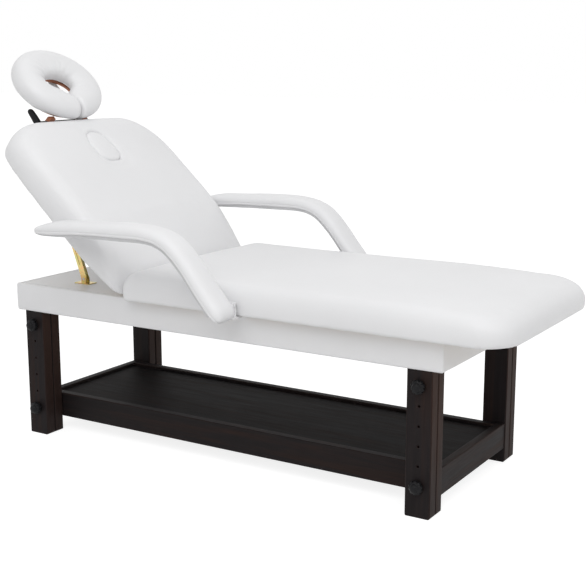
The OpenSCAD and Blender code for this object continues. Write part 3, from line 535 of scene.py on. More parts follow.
def plated_metal(tree, colour, tint=None, rough=0.32):
    """Brushed or plated metal; a tint gives the cloudy colours of yellow zinc."""
    lines = noise(object_places(tree, stretched(LENGTHWISE, 20, 900)), 1.0, 2.0)
    clouds = noise(object_places(tree), 38.0, 3.0, 0.6, 0.6)
    tint = tint or (tinted(colour, 0.9), tinted(colour, 1.06))
    shades = ramp(clouds, [(0.34, tint[0]), (0.5, colour), (0.68, tint[1])])
    polish = spread(clouds, rough - 0.06, rough + 0.08)
    return dict(
        Base_Color=blend_colours(spread(lines, 0.0, 0.18), shades, tinted(colour, 0.6)),
        Metallic=1.0,
        Roughness=arithmetic("ADD", polish, spread(lines, 0.0, 0.08)),
        Normal=bump(lines, 0.00005, 0.4),
    )


def moulded_plastic(tree, colour, rough, peel_depth, gloss=0.5):
    """Moulded plastic, powder coat or enamel with a fine orange-peel texture."""
    where = object_places(tree)
    peel = noise(where, 1100.0, 2.0)
    smear = noise(where, 55.0, 3.0)
    smooth = spread(smear, rough - 0.05, rough + 0.07)
    return dict(
        Base_Color=ramp(smear, [(0.35, tinted(colour, 0.8)), (0.65, tinted(colour, 1.35))]),
        Roughness=arithmetic("ADD", smooth, spread(peel, -0.02, 0.04)),
        Specular_IOR_Level=gloss,
        Normal=bump(peel, peel_depth, 0.3),
    )


def lining_cloth(tree, colour):
    """Thin felted lining: short crossed fibres pressed flat, a little mottled."""
    where = object_places(tree)
    fibres = noise(where, 1400.0, 4.0, 0.7, 1.6)
    dots = add_node(tree, "TexVoronoi", {"feature": "F1"}, Vector=where, Scale=420.0).outputs["Distance"]
    patches = noise(where, 16.0, 3.0)
    tone = ramp(patches, [(0.3, tinted(colour, 0.95)), (0.7, tinted(colour, 1.03))])
    pressed = blend_colours(spread(dots, 0.28, 0.0, 0.10, 0.30), tone, tinted(colour, 0.8))
    return dict(
        Base_Color=blend_colours(spread(fibres, 0.0, 0.22), pressed, tinted(colour, 0.7)),
        Roughness=spread(fibres, 0.78, 0.95),
        Sheen_Weight=0.15,
        Normal=bump(fibres, 0.00015, 0.5, bump(dots, 0.0002, 0.5)),
    )


def webbing(tree, colour, turn):
    """Woven strap: warp ribs crossed by weft, with a soft nap."""
    where = object_places(tree, (1, 1, 1), (0, -turn, 0))
    warp = arithmetic("SINE", arithmetic("MULTIPLY", part(where, 1), 2 * math.pi / RIB))
    weft = arithmetic("SINE", arithmetic("MULTIPLY", part(where, 0), 2 * math.pi / WEFT))
    weave = arithmetic("MULTIPLY", warp, weft)
    nap = noise(where, 900.0, 3.0)
    height = arithmetic("ADD", arithmetic("MULTIPLY", weave, 0.5), nap)
    return dict(
        Base_Color=ramp(spread(height, 0, 1, -0.2, 1.2), [(0.1, tinted(colour, 0.7)), (0.8, colour)]),
        Roughness=spread(nap, 0.7, 0.9),
        Sheen_Weight=0.2,
        Normal=bump(height, 0.0003, 0.6),
    )


finishes = {}


def finish(name):
    """The scene's materials, each made when it is first asked for."""
    if name not in finishes:
        scene = bpy.context.scene
        cloth, wood, metal = scene.table_upholstery, scene.table_wood, scene.table_metal
        white = cloth.colour
        makers = {
            "white vinyl": (vinyl, white, cloth.grain),
            "box vinyl with painted shade": (vinyl, white, cloth.grain, 0.985),
            "upright wood with painted top light": (stained_wood, wood, UPRIGHT),
            # The rails and the shelf take darker copies of the same stain: painted shade, for the shade low
            # under the table
            "lengthwise wood with painted shade": (stained_wood, wood, LENGTHWISE, 0.11, 0.85),
            "crosswise wood with painted shade": (stained_wood, wood, CROSSWISE, 0.11, 0.9),
            "shelf wood with painted shade": (stained_wood, wood, LENGTHWISE, 0.04, 0.45),
            "seat plywood": (layered_wood, wood.plywood),
            "back plywood": (layered_wood, wood.plywood, BACK_TILT),
            "cradle plywood": (layered_wood, wood.cradle, RING_TILT, 0.34, CROSSWISE),
            "steel": (plated_metal, metal.steel),
            "yellow zinc": (plated_metal, metal.zinc, ((0.80, 0.46, 0.22), (0.60, 0.66, 0.28)), 0.26),
            "black steel": (moulded_plastic, tinted(metal.black, 0.7), 0.36, 0.0002, 0.3),
            "greyed white enamel with painted shade": (moulded_plastic, tinted(white, 0.88), 0.55, 0.00012),
            "black plastic": (moulded_plastic, tinted(metal.black, 0.55), 0.48, 0.00008, 0.16),
            "lining_and_painted_shade": (lining_cloth, cloth.lining_and_painted_shade),
            "strap": (webbing, (0.78, 0.78, 0.78), RING_TILT),
        }
        maker, *values = makers[name]
        material = bpy.data.materials.new(name.replace(" ", "_"))
        tree, out = bare_tree(material, "OutputMaterial")
        shader = add_node(tree, "BsdfPrincipled", **maker(tree, *values))
        tree.links.new(shader.outputs["BSDF"], out.inputs["Surface"])
        finishes[name] = material
    return finishes[name]


# Padded pieces


def shrink(obj, depth):
    """Draws the outer faces in, and leaves the walls of pockets and holes, which face the middle."""
    co, normals = places(obj), directions(obj)
    outwards = np.sum(normals * (co - co.mean(axis=0)), axis=1) > 0
    set_places(obj, co - normals * (depth * outwards)[:, None])


def evened(obj, values, passes):
    """Spreads a value at each point over its neighbours."""
    ends = np.empty(len(obj.data.edges) * 2, np.int32)
    obj.data.edges.foreach_get("vertices", ends)
    ends = ends.reshape(-1, 2)
    count = len(values)
    near = np.maximum(np.bincount(ends.ravel(), minlength=count), 1)
    for _ in range(passes):
        total = sum(np.bincount(ends[:, k], values[ends[:, 1 - k]], count) for k in (0, 1))
        values = (values + total / near) / 2
    return values


def swell(obj, limits, down, passes=12):
    """Blows the cover up with Blender's Cloth, outwards only. The faces on a board, which face down, stay."""
    cloth = bpy.context.scene.table_upholstery
    start = places(obj)
    held = directions(obj) @ down > HELD_SLOPE
    group = obj.vertex_groups.new(name="held")
    group.add([int(i) for i in np.flatnonzero(held)], 1.0, "REPLACE")
    modifier = obj.modifiers.new("Cloth", "CLOTH")
    settings = modifier.settings
    settings.quality = 4
    settings.mass = 0.25
    settings.tension_stiffness = settings.compression_stiffness = 12
    settings.shear_stiffness = 6
    settings.bending_stiffness = 0.8
    settings.air_damping = 2
    settings.use_pressure = True
    settings.uniform_pressure_force = cloth.pressure
    settings.vertex_group_mass = group.name
    settings.effector_weights.gravity = 0
    modifier.collision_settings.use_collision = False
    modifier.point_cache.frame_start = 1
    modifier.point_cache.frame_end = cloth.frames
    for step in range(1, cloth.frames + 1):
        bpy.context.scene.frame_set(step)
    result = places(obj.evaluated_get(bpy.context.evaluated_depsgraph_get()))
    obj.modifiers.remove(modifier)
    obj.vertex_groups.clear()
    bpy.context.scene.frame_set(1)
    outwards = directions(obj)
    move = np.clip(np.sum((result - start) * outwards, axis=1), 0, limits)
    set_places(obj, start + outwards * evened(obj, move * ~held, passes)[:, None])


def pad_from(node, name, voxel, down, limits=None, subdivide=2, prepare=None, smoothing=4, passes=12):
    """A padded piece grown from a CAD form: smoothed, remeshed, then blown up."""
    cloth = bpy.context.scene.table_upholstery
    obj = copy_node(node, name, subdivide > 0)
    if prepare:
        prepare(obj)
    if subdivide:
        apply_modifier(obj, "SUBSURF", levels=subdivide, render_levels=subdivide)
    shrink(obj, cloth.shrink)
    spacing = voxel * 1.0
    apply_modifier(obj, "REMESH", mode="VOXEL", voxel_size=spacing, adaptivity=0.0)
    apply_modifier(obj, "SMOOTH", factor=0.5, iterations=smoothing)
    push(obj, np.full(len(obj.data.vertices), cloth.shrink + PAD_FULLNESS))
    swell(obj, cloth.swell if limits is None else limits(places(obj)), down, passes)
    smooth_faces(obj)
    return obj


def lower_pockets(obj, down, drop):
    """Lowers the roofs of the pockets into the boards, so that the foam over them is thicker."""
    mesh = bmesh.new()
    mesh.from_mesh(obj.data)
    down = Vector(down)
    lowest = max(v.co @ down for v in mesh.verts)
    roofs = {
        v
        for f in mesh.faces
        if f.normal @ down > 0.9
        for v in f.verts
        if lowest - v.co @ down > drop + 0.002
    }
    for vertex in roofs:
        vertex.co += down * drop
    mesh.to_mesh(obj.data)
    mesh.free()


def push(obj, amount):
    """Moves every point along its own normal."""
    set_places(obj, places(obj) + directions(obj) * np.asarray(amount)[:, None])


def slide(obj, way, amount):
    """Moves every point the same way, each by its own amount."""
    set_places(obj, places(obj) + np.outer(amount, way))


def back_frame(co):
    """Distance from the hinge line towards the head end, and height above the hinge line's plane."""
    away = co - np.array(HINGE)
    return away @ BACK_ALONG, away @ BACK_UP


class TABLE_OT_wood(bpy.types.Operator):
    """Stains the legs, rails and shelf"""

    bl_idname = "table.wood"
    bl_label = "Wooden pieces"

    def execute(self, context):
        for end in ENDS:
            for side, _ in SIDES:
                coat("upright wood with painted top light", f"inner_leg_{end}_{side}", f"outer_leg_{end}_{side}")
            coat("crosswise wood with painted shade", f"shelf_rail_{end}")
        coat("lengthwise wood with painted shade", "shelf_rail_right", "shelf_rail_left")
        coat("shelf wood with painted shade", "shelf_panel")
        coat("seat plywood", "seat_board")
        coat("back plywood", "back_rail_head", "back_rail_hinge", "back_rail_right", "back_rail_left")
        coat("lining_and_painted_shade", "back_panel")
        coat("cradle plywood", "cradle_cheeks")
        return {"FINISHED"}


class TABLE_OT_metal(bpy.types.Operator):
    """Plates the hinges, struts, brackets and bars"""

    bl_idname = "table.metal"
    bl_label = "Metal pieces"

    def execute(self, context):
        coat(
            "steel", "hinge_box_leaves", "hinge_back_leaves", "hinge_pins", "strut_base_pins",
            "strut_top_pins", "clamp_nuts",
        )
        # The brackets' and bolts' enamel is greyed below the vinyl's white: painted shade, matching the shade
        # under the seat's overhang where they sit
        coat("greyed white enamel with painted shade", "arm_brackets", "arm_bolts")
        coat(
            "yellow zinc", "strut_base_brackets", "strut_top_brackets", "strut_channel_right",
            "strut_channel_left", "strut_bar_right", "strut_bar_left",
        )
        coat("black steel", "cradle_rods", "cradle_bar")
        coat("strap", "cradle_strap")
        return {"FINISHED"}


# Half outline of a knob of 42 mm, from its foot to its dome: distance from the axis and height in millimetres
KNOB_OUTLINE = (
    (0.0, 0.3), (8.6, 0.3), (9.0, 3.2), (9.4, 3.6), (17.0, 4.0), (19.4, 4.9), (20.6, 6.6), (21.0, 9.0),
    (21.0, 14.0), (20.4, 17.4), (18.8, 19.6), (16.4, 21.0), (14.8, 21.6), (14.0, 22.4), (13.6, 24.2),
    (12.8, 26.6), (11.2, 28.8), (8.9, 30.5), (6.0, 31.6), (3.0, 32.2), (0.0, 32.4),
)
KNOB_FLUTES = 10
# Sections of the lever: distance from its pivot, half width and half thickness in millimetres
LEVER_SECTIONS = (
    (-11.0, 2.0, 4.0), (-10.2, 5.5, 7.0), (-8.0, 9.0, 9.4), (-4.0, 12.0, 10.8), (0.0, 12.8, 11.0),
    (10.0, 12.8, 10.8), (22.0, 12.6, 10.0), (34.0, 12.2, 9.4), (44.0, 11.8, 9.2), (52.0, 11.0, 8.8),
    (57.0, 9.8, 8.0), (60.5, 7.6, 6.4), (62.6, 4.8, 4.4), (63.4, 1.8, 2.0),
)
LEVER_LEAN = math.radians(56)
LEVER_BOW = 0.005
LEVER_POINTS = 28


def knob_pattern(width):
    """A fluted and domed knob that stands on the room's middle, spun from its outline."""
    deselect_all()
    bpy.ops.mesh.primitive_circle_add(vertices=3)
    pattern = bpy.context.active_object
    pattern.name = "knob_pattern"
    shape = bmesh.new()
    points = [shape.verts.new((r / 42 * width, 0, h / 1000)) for r, h in KNOB_OUTLINE]
    for a, b in zip(points, points[1:]):
        shape.edges.new((a, b))
    shape.to_mesh(pattern.data)
    shape.free()
    edit_all(pattern)
    bpy.ops.mesh.spin(steps=80, angle=2 * math.pi, center=(0, 0, 0), axis=(0, 0, 1))
    bpy.ops.mesh.select_all(action="SELECT")
    bpy.ops.mesh.remove_doubles(threshold=0.00001)
    bpy.ops.mesh.normals_make_consistent(inside=False)
    bpy.ops.object.mode_set(mode="OBJECT")
    co = places(pattern)
    reach = np.hypot(co[:, 0], co[:, 1])
    turn = np.arctan2(co[:, 1], co[:, 0])
    rim = rising(reach / width - 0.36, 0.08) * rising(0.0225 - co[:, 2], 0.003)
    notch = np.clip(np.cos(KNOB_FLUTES * turn) * 1.5 - 0.35, 0, 1) ** 0.8
    co[:, :2] *= (1 - 0.125 * rim * notch)[:, None]
    set_places(pattern, co)
    return pattern


def lever_rings():
    """Rounded sections along the lever, which leans headwards and bows a little."""
    pivot = joint_place("cradle_lever_turn")
    low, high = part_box("cradle_lever")
    middle = Vector((pivot.x, (low.y + high.y) / 2, pivot.z))
    way = Vector((-math.cos(LEVER_LEAN), 0, math.sin(LEVER_LEAN)))
    side = Vector((0, 1, 0)).cross(way)
    rings = []
    for at, half_width, half_depth in LEVER_SECTIONS:
        bow = LEVER_BOW * (1 - (at / 60) ** 2) if at > 0 else LEVER_BOW
        ring = []
        for k in range(LEVER_POINTS):
            a = 2 * math.pi * k / LEVER_POINTS
            c, h = math.cos(a), math.sin(a)
            across = math.copysign(abs(c) ** 0.75, c) * half_width / 1000
            depth = math.copysign(abs(h) ** 0.75, h) * half_depth / 1000
            ring.append(middle + way * (at / 1000) - side * (across - bow) + Vector((0, depth, 0)))
        rings.append(ring)
    return rings


class TABLE_OT_knobs(bpy.types.Operator):
    """Makes the clamping knobs and the cradle's lever"""

    bl_idname = "table.knobs"
    bl_label = "Knobs and lever"

    def execute(self, context):
        pattern = knob_pattern(context.scene.table_metal.knob_width)
        for end in ENDS:
            for side, sign in SIDES:
                for level in ("low", "high"):
                    node = f"knob_{end}_{side}_{level}"
                    knob = add_object(f"{node}_grip", pattern.data.copy())
                    turned = Matrix.Rotation(math.radians(-90 * sign), 4, "X")
                    knob.data.transform(Matrix.Translation(joint_place(f"{node}_turn")) @ turned)
                    smooth_faces(knob, 50)
                    finish_piece(knob, node, "black_plastic", "black plastic", node)
        bpy.data.objects.remove(pattern)
        lever = loft("cradle_lever_grip", lever_rings())
        apply_modifier(lever, "SUBSURF", levels=1, render_levels=1)
        smooth_faces(lever, 40)
        finish_piece(lever, "cradle_lever", "black_plastic", "black plastic", "cradle_lever")
        return {"FINISHED"}


class TABLE_OT_box_cover(bpy.types.Operator):
    """Wraps the box's boards in vinyl with softly rounded edges"""

    bl_idname = "table.box_cover"
    bl_label = "Box cover"

    def execute(self, context):
        low = Vector(map(min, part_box("box_side_right")[0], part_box("box_end_head")[0]))
        high = Vector(map(max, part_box("box_side_left")[1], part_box("box_end_foot")[1]))
        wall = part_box("box_end_foot")[1].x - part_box("box_end_foot")[0].x
        deselect_all()
        bpy.ops.mesh.primitive_cube_add(size=1.0, location=(low + high) / 2, scale=high - low)
        cover = context.active_object
        cover.name = "box_cover"
        bpy.ops.object.transform_apply(location=True, rotation=True, scale=True)
        bpy.ops.object.mode_set(mode="EDIT")
        mesh = bmesh.from_edit_mesh(cover.data)
        bpy.ops.mesh.select_all(action="DESELECT")
        for face in mesh.faces:
            face.select_set(abs(face.normal.z) > 0.5)
        bmesh.update_edit_mesh(cover.data)
        bpy.ops.mesh.delete(type="FACE")
        bpy.ops.object.mode_set(mode="OBJECT")
        apply_modifier(cover, "SOLIDIFY", thickness=wall, offset=-1.0, use_even_offset=True)
        round_edges(cover, 0.0055, 4)
        edit_all(cover)
        for axis, count in ((0, 54), (1, 22), (2, 5)):
            for k in range(1, count):
                at = low.lerp(high, k / count)
                normal = [0, 0, 0]
                normal[axis] = 1
                bpy.ops.mesh.select_all(action="SELECT")
                bpy.ops.mesh.bisect(plane_co=at, plane_no=normal)
        bpy.ops.object.mode_set(mode="OBJECT")
        co = places(cover)
        x, _, z = co.T
        half = (high - low) / 2
        from_end, from_side, from_middle = np.abs(co - np.array((low + high) / 2)).T
        from_end, from_side = half.x - from_end, half.y - from_side
        outer = (from_end < 0.004) | (from_side < 0.004)
        rise = np.clip(1 - (from_middle / half.z) ** 2, 0, 1)
        corner = bell(from_end, 0.05) * bell(from_side, 0.05)
        ripple = np.sin(x * 9.1 + z * 21) * np.sin(x * 3.7 + 1.3) + 0.6 * np.sin(x * 23)
        push(cover, np.where(outer, rise * (0.0012 + 0.0004 * ripple) - 0.001 * corner, 0.0))
        smooth_faces(cover, 50)
        finish_piece(
            cover, "bed", "white_vinyl", "box vinyl with painted shade",
            "box_side_right", "box_side_left", "box_end_head", "box_end_foot",
        )
        coat("box vinyl with painted shade", "platform_panel")
        return {"FINISHED"}


class TABLE_OT_seat(bpy.types.Operator):
    """Pads the seat"""

    bl_idname = "table.seat"
    bl_label = "Seat cushion"

    def execute(self, context):
        low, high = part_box("seat_cushion")
        swell_limit = context.scene.table_upholstery.swell
        pad = pad_from(
            "seat_cushion", "seat_pad", SEAT_VOXEL, DOWN,
            lambda co: swell_limit * rising(co[:, 0] - low.x, 0.06),
            prepare=lambda obj: lower_pockets(obj, DOWN, 0.0105),
        )
        # The end at the hinge keeps clear of the backrest's pad
        slide(pad, (1, 0, 0), HINGE_ROOM * (1 - rising(places(pad)[:, 0] - low.x, 0.04)))
        x, y, z = places(pad).T
        edge = np.minimum(x - low.x, high.x - x)
        side = np.abs(y) / high.y
        sway = np.sin(x * 7.3 + 0.4) * np.cos(y * 9.7) + 0.5 * np.sin(x * 17 + y * 13)
        lower = np.clip(1 - (z - low.z) / (high.z - low.z), 0, 1) ** 2 * (side > 0.8)
        tucks = np.sin(x * 71) * np.sin(x * 9.3 + 1.1)
        push(pad, 0.0005 * sway + 0.0006 * lower * tucks)
        co = places(pad)
        # The lower edge hangs over the board
        hang = (1 - rising(co[:, 2] - low.z, 0.016)) * ((side > 0.93) | (edge < 0.02))
        co[:, 2] = np.maximum(co[:, 2] - 0.004 * hang, np.minimum(co[:, 2], low.z + 0.0002))
        set_places(pad, co)
        finish_pad(pad, "bed", "seat_cushion")
        return {"FINISHED"}


class TABLE_OT_backrest(bpy.types.Operator):
    """Pads the backrest and its loose face plug"""

    bl_idname = "table.backrest"
    bl_label = "Backrest cushion"

    def execute(self, context):
        hole_low, hole_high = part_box("face_plug")
        hole_u, _ = back_frame(np.array([(hole_low + hole_high) / 2]))
        swell_limit = context.scene.table_upholstery.swell

        def limits(co):
            u, _ = back_frame(co)
            away = np.maximum(np.abs(u - hole_u[0]) - FACE_HOLE_HALF[0], np.abs(co[:, 1]) - FACE_HOLE_HALF[1])
            return np.clip(0.0028 + np.clip(away, 0, 0.05) * 0.07, 0, swell_limit) * rising(u - u.min(), 0.06)

        pad = pad_from(
            "back_cushion", "back_pad", BACK_VOXEL, -BACK_UP, limits, 0,
            lambda obj: lower_pockets(obj, -BACK_UP, 0.008), 10,
        )
        co = places(pad)
        u, n = back_frame(co)
        corner = bell(u - u.max() + 0.075, 0.06) * rising(np.abs(co[:, 1]) - 0.20, 0.14)
        co[:, 1] += corner * np.where(co[:, 1] < 0, -0.018, 0.002)
        co[:, 1] += 0.005 * rising(co[:, 1] - 0.30, 0.06) * rising(0.30 - u, 0.15) * rising(u, 0.03)
        set_places(pad, co)
        sway = np.sin(u * 8.3 + 0.9) * np.cos(co[:, 1] * 8.9) + 0.5 * np.sin(u * 15 - co[:, 1] * 12)
        push(pad, 0.0005 * sway)
        outside = rising(np.abs(co[:, 1]) - 0.340, 0.022) * rising(0.032 - n, 0.03)
        roll = np.interp(u, (0.05, 0.18, 0.32, 0.62, 0.70), (0.0, 0.013, 0.012, 0.004, 0.0))
        slide(pad, -BACK_UP, outside * roll)
        top_end = rising(u - u.max() + 0.05, 0.04) * np.clip(1 - (co[:, 1] / 0.3) ** 2, 0, 1)
        hinge_end = 1 - rising(u - u.min(), 0.04)
        slide(pad, BACK_ALONG, 0.0012 * top_end + HINGE_ROOM * hinge_end)
        finish_pad(pad, "backrest", "back_cushion")
        plug = pad_from(
            "face_plug", "face_plug_pad", PLUG_VOXEL, -BACK_UP, lambda co: np.full(len(co), PLUG_SWELL)
        )
        finish_pad(plug, "face_plug", "face_plug")
        return {"FINISHED"}


ARM_POINTS = 44
# Heights of a seam's three points below the middle
SEAM_SHARES = (0.27, 0.31, 0.35)
# The points round an armrest's cover: angle, and height share at the seams or 0
ARM_PROFILE = sorted(
    [(2 * math.pi * k / ARM_POINTS, 0.0) for k in range(ARM_POINTS)]
    + [(math.pi + 0.02 * (k + 1), share) for k, share in enumerate(SEAM_SHARES)]
    + [(2 * math.pi - 0.02 * (k + 1), share) for k, share in enumerate(SEAM_SHARES)]
)
ARM_SEAMS = [k for k, (_, share) in enumerate(ARM_PROFILE) if share == SEAM_SHARES[1]]


def arm_stations(steps):
    """Points along an armrest from its tip to its pivot: place, along, thickness and distance along the line.
    """
    line = np.array(ARM_LINE)
    reach = np.concatenate([[0], np.cumsum(np.linalg.norm(np.diff(line[:, :2], axis=0), axis=1))])
    fine = np.linspace(0, reach[-1], steps)
    x, z, thick = (np.interp(fine, reach, line[:, k]) for k in range(3))
    for _ in range(6):
        for values in (x, z, thick):
            values[1:-1] = (values[:-2] + 2 * values[1:-1] + values[2:]) / 4
    along = np.stack([np.gradient(x), np.gradient(z)], axis=1)
    along /= np.linalg.norm(along, axis=1)[:, None]
    return np.stack([x, z], axis=1), along, thick, fine


def arm_cover(name, sign):
    """An armrest's padded cover: a crowned roll with a firm lower edge that stands over its board."""
    settings = bpy.context.scene.table_upholstery
    centre, along, thick, reach = arm_stations(110)
    half = settings.arm_width / 2
    rounds = [math.radians(a) for a in (12, 25, 38, 50, 62, 73, 82, 88)]
    rows = []
    for a in reversed(rounds):
        end = centre[0] - along[0] * (thick[0] / 2 * 0.7 * math.sin(a))
        rows.append((end, along[0], thick[0], math.cos(a), 0.92 + 0.08 * math.cos(a), 0))
    for k in range(len(centre)):
        rows.append((centre[k], along[k], thick[k], 1.0, 1.0, reach[k]))
    for a in rounds:
        end = centre[-1] + along[-1] * (thick[-1] / 2 * 1.5 * math.sin(a))
        rows.append((end, along[-1], thick[-1], math.cos(a), math.cos(a), reach[-1]))
    rings = []
    for place, way, width, upper, lower, at in rows:
        up = np.array([-way[1], way[0]])
        lip = settings.board_band * rising(at, 0.16) * np.clip(lower * 2 - 1, 0, 1)
        low = -width / 2 * (0.10 + 0.90 * lower) + lip
        bend = settings.bend_crown * math.exp(-((place[0] + 0.005) / 0.075) ** 2)
        high = width / 2 * (0.10 + 0.90 * upper) + bend
        if lower > upper:
            high = width / 2 * (1.75 * upper - 0.75)
        near = min(upper, lower)
        side = half * (0.30 + 0.70 * near ** 0.55)
        ending = 1 - near
        ring = []
        for a, seam_share in ARM_PROFILE:
            c, h = math.cos(a), math.sin(a)
            if seam_share:
                across, share = math.copysign(side * (0.995 - 0.1 * ending), c), -seam_share
            elif h >= 0:
                across, share = math.copysign(abs(c) ** (0.60 + 0.35 * ending), c) * side, h ** 0.88
            else:
                across = math.copysign(abs(c) ** (0.22 + 0.6 * ending), c) * side * (1 - 0.03 * abs(h))
                share = -abs(h) ** (0.28 + 0.6 * ending)
            centre_height = (high + low) / 2 if lower > upper else 0.0
            lift = centre_height + share * (high - centre_height if share >= 0 else centre_height - low)
            ring.append((place[0] + up[0] * lift, sign * ARM_Y + across, place[1] + up[1] * lift))
        rings.append(ring)
    return loft(name, rings)


class TABLE_OT_armrests(bpy.types.Operator):
    """Pads the armrests"""

    bl_idname = "table.armrests"
    bl_label = "Armrests"

    def execute(self, context):
        for side, sign in SIDES:
            pad = arm_cover(f"armrest_{side}_pad", sign)
            swell(pad, np.full(len(pad.data.vertices), ARM_SWELL), DOWN)
            x, _, z = places(pad).T
            push(pad, 0.0004 * (np.sin(x * 31 + 0.7) * np.sin(x * 11 + 2.1 * sign) + 0.5 * np.sin(z * 43)))
            sewn = np.isin(np.arange(len(x)) % len(ARM_PROFILE), ARM_SEAMS)
            push(pad, -0.0022 * sewn)
            apply_modifier(pad, "SUBSURF", levels=1, render_levels=1)
            smooth_faces(pad)
            finish_pad(pad, f"armrest_{side}", f"arm_pad_{side}")
            # The boards' grey cloth is painted shade, for the shade under the pads' overhang
            coat("lining_and_painted_shade", f"arm_board_{side}")
        return {"FINISHED"}


class TABLE_OT_cradle_plate(bpy.types.Operator):
    """Cuts the cradle's plate out to the hole of its cushion"""

    bl_idname = "table.cradle_plate"
    bl_label = "Cradle plate"

    def execute(self, context):
        wood = context.scene.table_wood
        plate = copy_node("cradle_plate", "cradle_plate_board", False)
        low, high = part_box("cradle_plate")
        co = places(plate)
        away = co - np.array((low + high) / 2)
        a, b = away @ RING_ALONG, away[:, 1]
        reach = np.hypot(a, b)
        wall = reach < (reach.min() + reach.max()) / 2
        wider_a = wood.cradle_opening[0] / np.abs(a[wall]).max() - 1
        wider_b = wood.cradle_opening[1] / np.abs(b[wall]).max() - 1
        co += np.outer(a * wall * wider_a, RING_ALONG)
        co[:, 1] += b * wall * wider_b
        set_places(plate, co)
        round_edges(plate, 0.0012, 2)
        smooth_faces(plate, 40)
        finish_piece(plate, "cradle_head", "red_plywood", "cradle plywood", "cradle_plate")
        return {"FINISHED"}


class TABLE_OT_headrest(bpy.types.Operator):
    """Pads the ring cushion of the head cradle"""

    bl_idname = "table.headrest"
    bl_label = "Head cushion"

    def execute(self, context):
        def open_slit(obj):
            co = places(obj)
            x, y, _ = co.T
            ends = (np.abs(y) < 0.0045) & (x > x.mean())
            co[ends, 1] = np.sign(co[ends, 1]) * 0.0055
            set_places(obj, co)

        pad = pad_from("headrest_cushion", "headrest_pad", HEAD_VOXEL, -RING_UP, prepare=open_slit, passes=1)
        co = places(pad)
        low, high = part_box("headrest_cushion")
        away = co - np.array((low + high) / 2)
        a, b, h = away @ RING_ALONG, away[:, 1], away @ RING_UP
        angle = np.arctan2(b, a)
        span = np.hypot(a / RING_HALF[0], b / RING_HALF[1])
        # The hole is drawn in, less at the slit, and the outer edge is fuller
        inside = rising(0.62 - span, 0.24) * rising(h + 0.034, 0.02)
        slit_end, near_side = bell(np.abs(angle) - math.pi, 0.75), bell(angle + 1.5, 0.8)
        drawn = inside * (0.75 + 0.25 * np.clip(h / 0.03, -1, 1)) * (1 - 1.9 * slit_end - 0.5 * near_side)
        wide = rising(span - 0.72, 0.2) * bell(h + 0.022, 0.016) * rising(a + 0.05, 0.06)
        outwards = (0.005 * wide - 0.013 * drawn) / np.maximum(np.hypot(a, b), 1e-6)
        co += np.outer(outwards * a, RING_ALONG)
        co[:, 1] += outwards * b + 0.004 * np.clip(span - 0.3, 0, 1)
        sunk = 0.007 * bell(span - 0.42, 0.16) * (h > 0) * np.maximum(slit_end, near_side)
        # The cover is wrapped down over the plate's edge
        wrapped = rising(span - 0.80, 0.10) * rising(-h - 0.008, 0.024) * rising(a + 0.12, 0.05)
        co -= np.outer(sunk + 0.011 * wrapped, RING_UP)
        set_places(pad, co)
        near = bell(span - 0.44, 0.15) * (h > 0)
        folds = np.sin(angle * 19 + 0.9 * np.sin(angle * 3)) * (0.4 + 0.6 * np.sin(angle * 2 + 0.7) ** 2)
        corner = bell(angle + 1.1, 0.5) * np.sin(angle * 24 + span * 3) * bell(span - 0.5, 0.16)
        push(pad, 0.0010 * near * folds + 0.0022 * corner * (h > 0))
        finish_pad(pad, "cradle_head", "headrest_cushion")
        return {"FINISHED"}


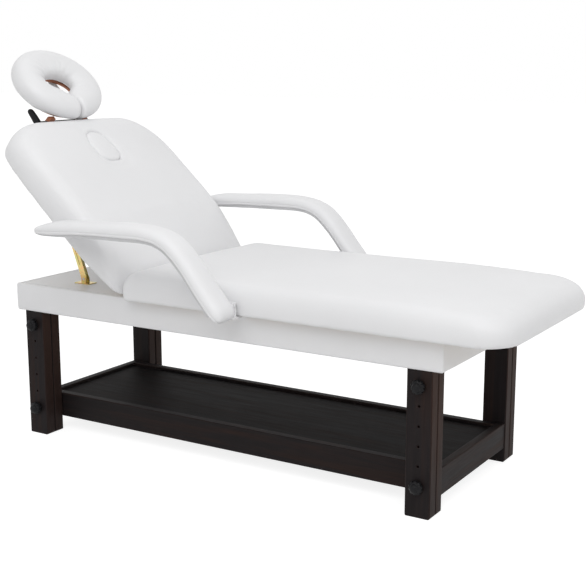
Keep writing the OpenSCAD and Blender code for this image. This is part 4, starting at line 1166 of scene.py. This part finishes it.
class TABLE_OT_stage(bpy.types.Operator):
    """Sets the floor, the light and the camera"""

    bl_idname = "table.stage"
    bl_label = "Stage"

    def execute(self, context):
        scene = context.scene
        settings = scene.table_stage
        deselect_all()
        bpy.ops.mesh.primitive_plane_add(size=settings.floor, location=(0, 0, -0.0005))
        floor = context.active_object
        floor.name = "floor"
        material = bpy.data.materials.new("floor")
        tree, out = bare_tree(material, "OutputMaterial")
        matt = add_node(tree, "BsdfDiffuse", Color=(0.86, 0.86, 0.86, 1))
        seen_matt = add_node(tree, "BsdfDiffuse", Color=(0.42, 0.42, 0.42, 1))
        glow = add_node(tree, "Emission", Color=(1, 1, 1, 1), Strength=0.84)
        both = add_node(tree, "AddShader", i0=seen_matt.outputs[0], i1=glow.outputs[0])
        seen = rays(tree, "Camera", "Glossy")
        mix = add_node(tree, "MixShader", i0=seen, i1=matt.outputs[0], i2=both.outputs[0])
        tree.links.new(mix.outputs[0], out.inputs["Surface"])
        floor.data.materials.append(material)
        scene.world = bpy.data.worlds.new("studio")
        tree, out = bare_tree(scene.world, "OutputWorld")
        strength = spread(rays(tree, "Camera", "Glossy", "Transmission"), settings.world, 1.0, 0.0, 1.0)
        sky = add_node(tree, "Background", Color=(1, 1, 1, 1), Strength=strength)
        tree.links.new(sky.outputs[0], out.inputs["Surface"])
        for name, place, aim, size, power in (
            ("key", (0.9, -3.1, 3.4), (0.0, 0, 0.6), 3.0, settings.key),
            ("top", (0.3, 0.2, 4.4), (0, 0, 0.5), 4.0, settings.key * 0.5),
            ("fill", (3.4, -1.8, 4.6), (0, 0, 0.6), 3.0, settings.key * 1.05),
        ):
            lamp = bpy.data.lights.new(name, "AREA")
            lamp.energy = power
            lamp.shape = "DISK"
            lamp.size = size
            obj = add_object(name, lamp)
            obj.location = place
            obj.rotation_euler = (Vector(aim) - Vector(place)).to_track_quat("-Z", "Y").to_euler()
        camera = bpy.data.cameras.new("camera")
        camera.lens = settings.lens * 1000
        camera.sensor_width = 36
        obj = add_object("camera", camera)
        obj.location = (2.09358, -3.20654, 1.30551)
        obj.rotation_euler = (math.radians(90 - 11.468), 0, math.radians(31.663))
        scene.camera = obj
        scene.view_settings.view_transform = "Standard"
        return {"FINISHED"}


class TABLE_PT_panel(bpy.types.Panel):
    """Sizes, colours and steps of the treatment table"""

    bl_label = "Treatment table"
    bl_idname = "TABLE_PT_panel"
    bl_space_type = "VIEW_3D"
    bl_region_type = "UI"
    bl_category = "Table"

    def draw(self, context):
        layout = self.layout
        for group in GROUPS:
            box = layout.box()
            settings = getattr(context.scene, group)
            for prop in settings.bl_rna.properties:
                if prop.identifier not in ("rna_type", "name"):
                    box.prop(settings, prop.identifier)
        for operator in OPERATORS:
            layout.operator(operator.bl_idname)


GROUPS = {
    "table_upholstery": UpholsterySettings,
    "table_wood": WoodSettings,
    "table_metal": MetalSettings,
    "table_stage": StageSettings,
}
OPERATORS = (
    TABLE_OT_wood, TABLE_OT_metal, TABLE_OT_knobs, TABLE_OT_box_cover, TABLE_OT_seat, TABLE_OT_backrest,
    TABLE_OT_armrests, TABLE_OT_cradle_plate, TABLE_OT_headrest, TABLE_OT_stage,
)


def register():
    for group in GROUPS.values():
        bpy.utils.register_class(group)
    for name, group in GROUPS.items():
        setattr(bpy.types.Scene, name, PointerProperty(type=group))
    for made in (*OPERATORS, TABLE_PT_panel):
        bpy.utils.register_class(made)


def unregister():
    for made in reversed((*OPERATORS, TABLE_PT_panel)):
        bpy.utils.unregister_class(made)
    for name in GROUPS:
        delattr(bpy.types.Scene, name)
    for group in reversed(tuple(GROUPS.values())):
        bpy.utils.unregister_class(group)


def main():
    register()
    bpy.ops.table.wood()
    bpy.ops.table.metal()
    bpy.ops.table.knobs()
    bpy.ops.table.box_cover()
    bpy.ops.table.seat()
    bpy.ops.table.backrest()
    bpy.ops.table.armrests()
    bpy.ops.table.cradle_plate()
    bpy.ops.table.headrest()
    bpy.ops.table.stage()


if __name__ == "__main__":
    main()
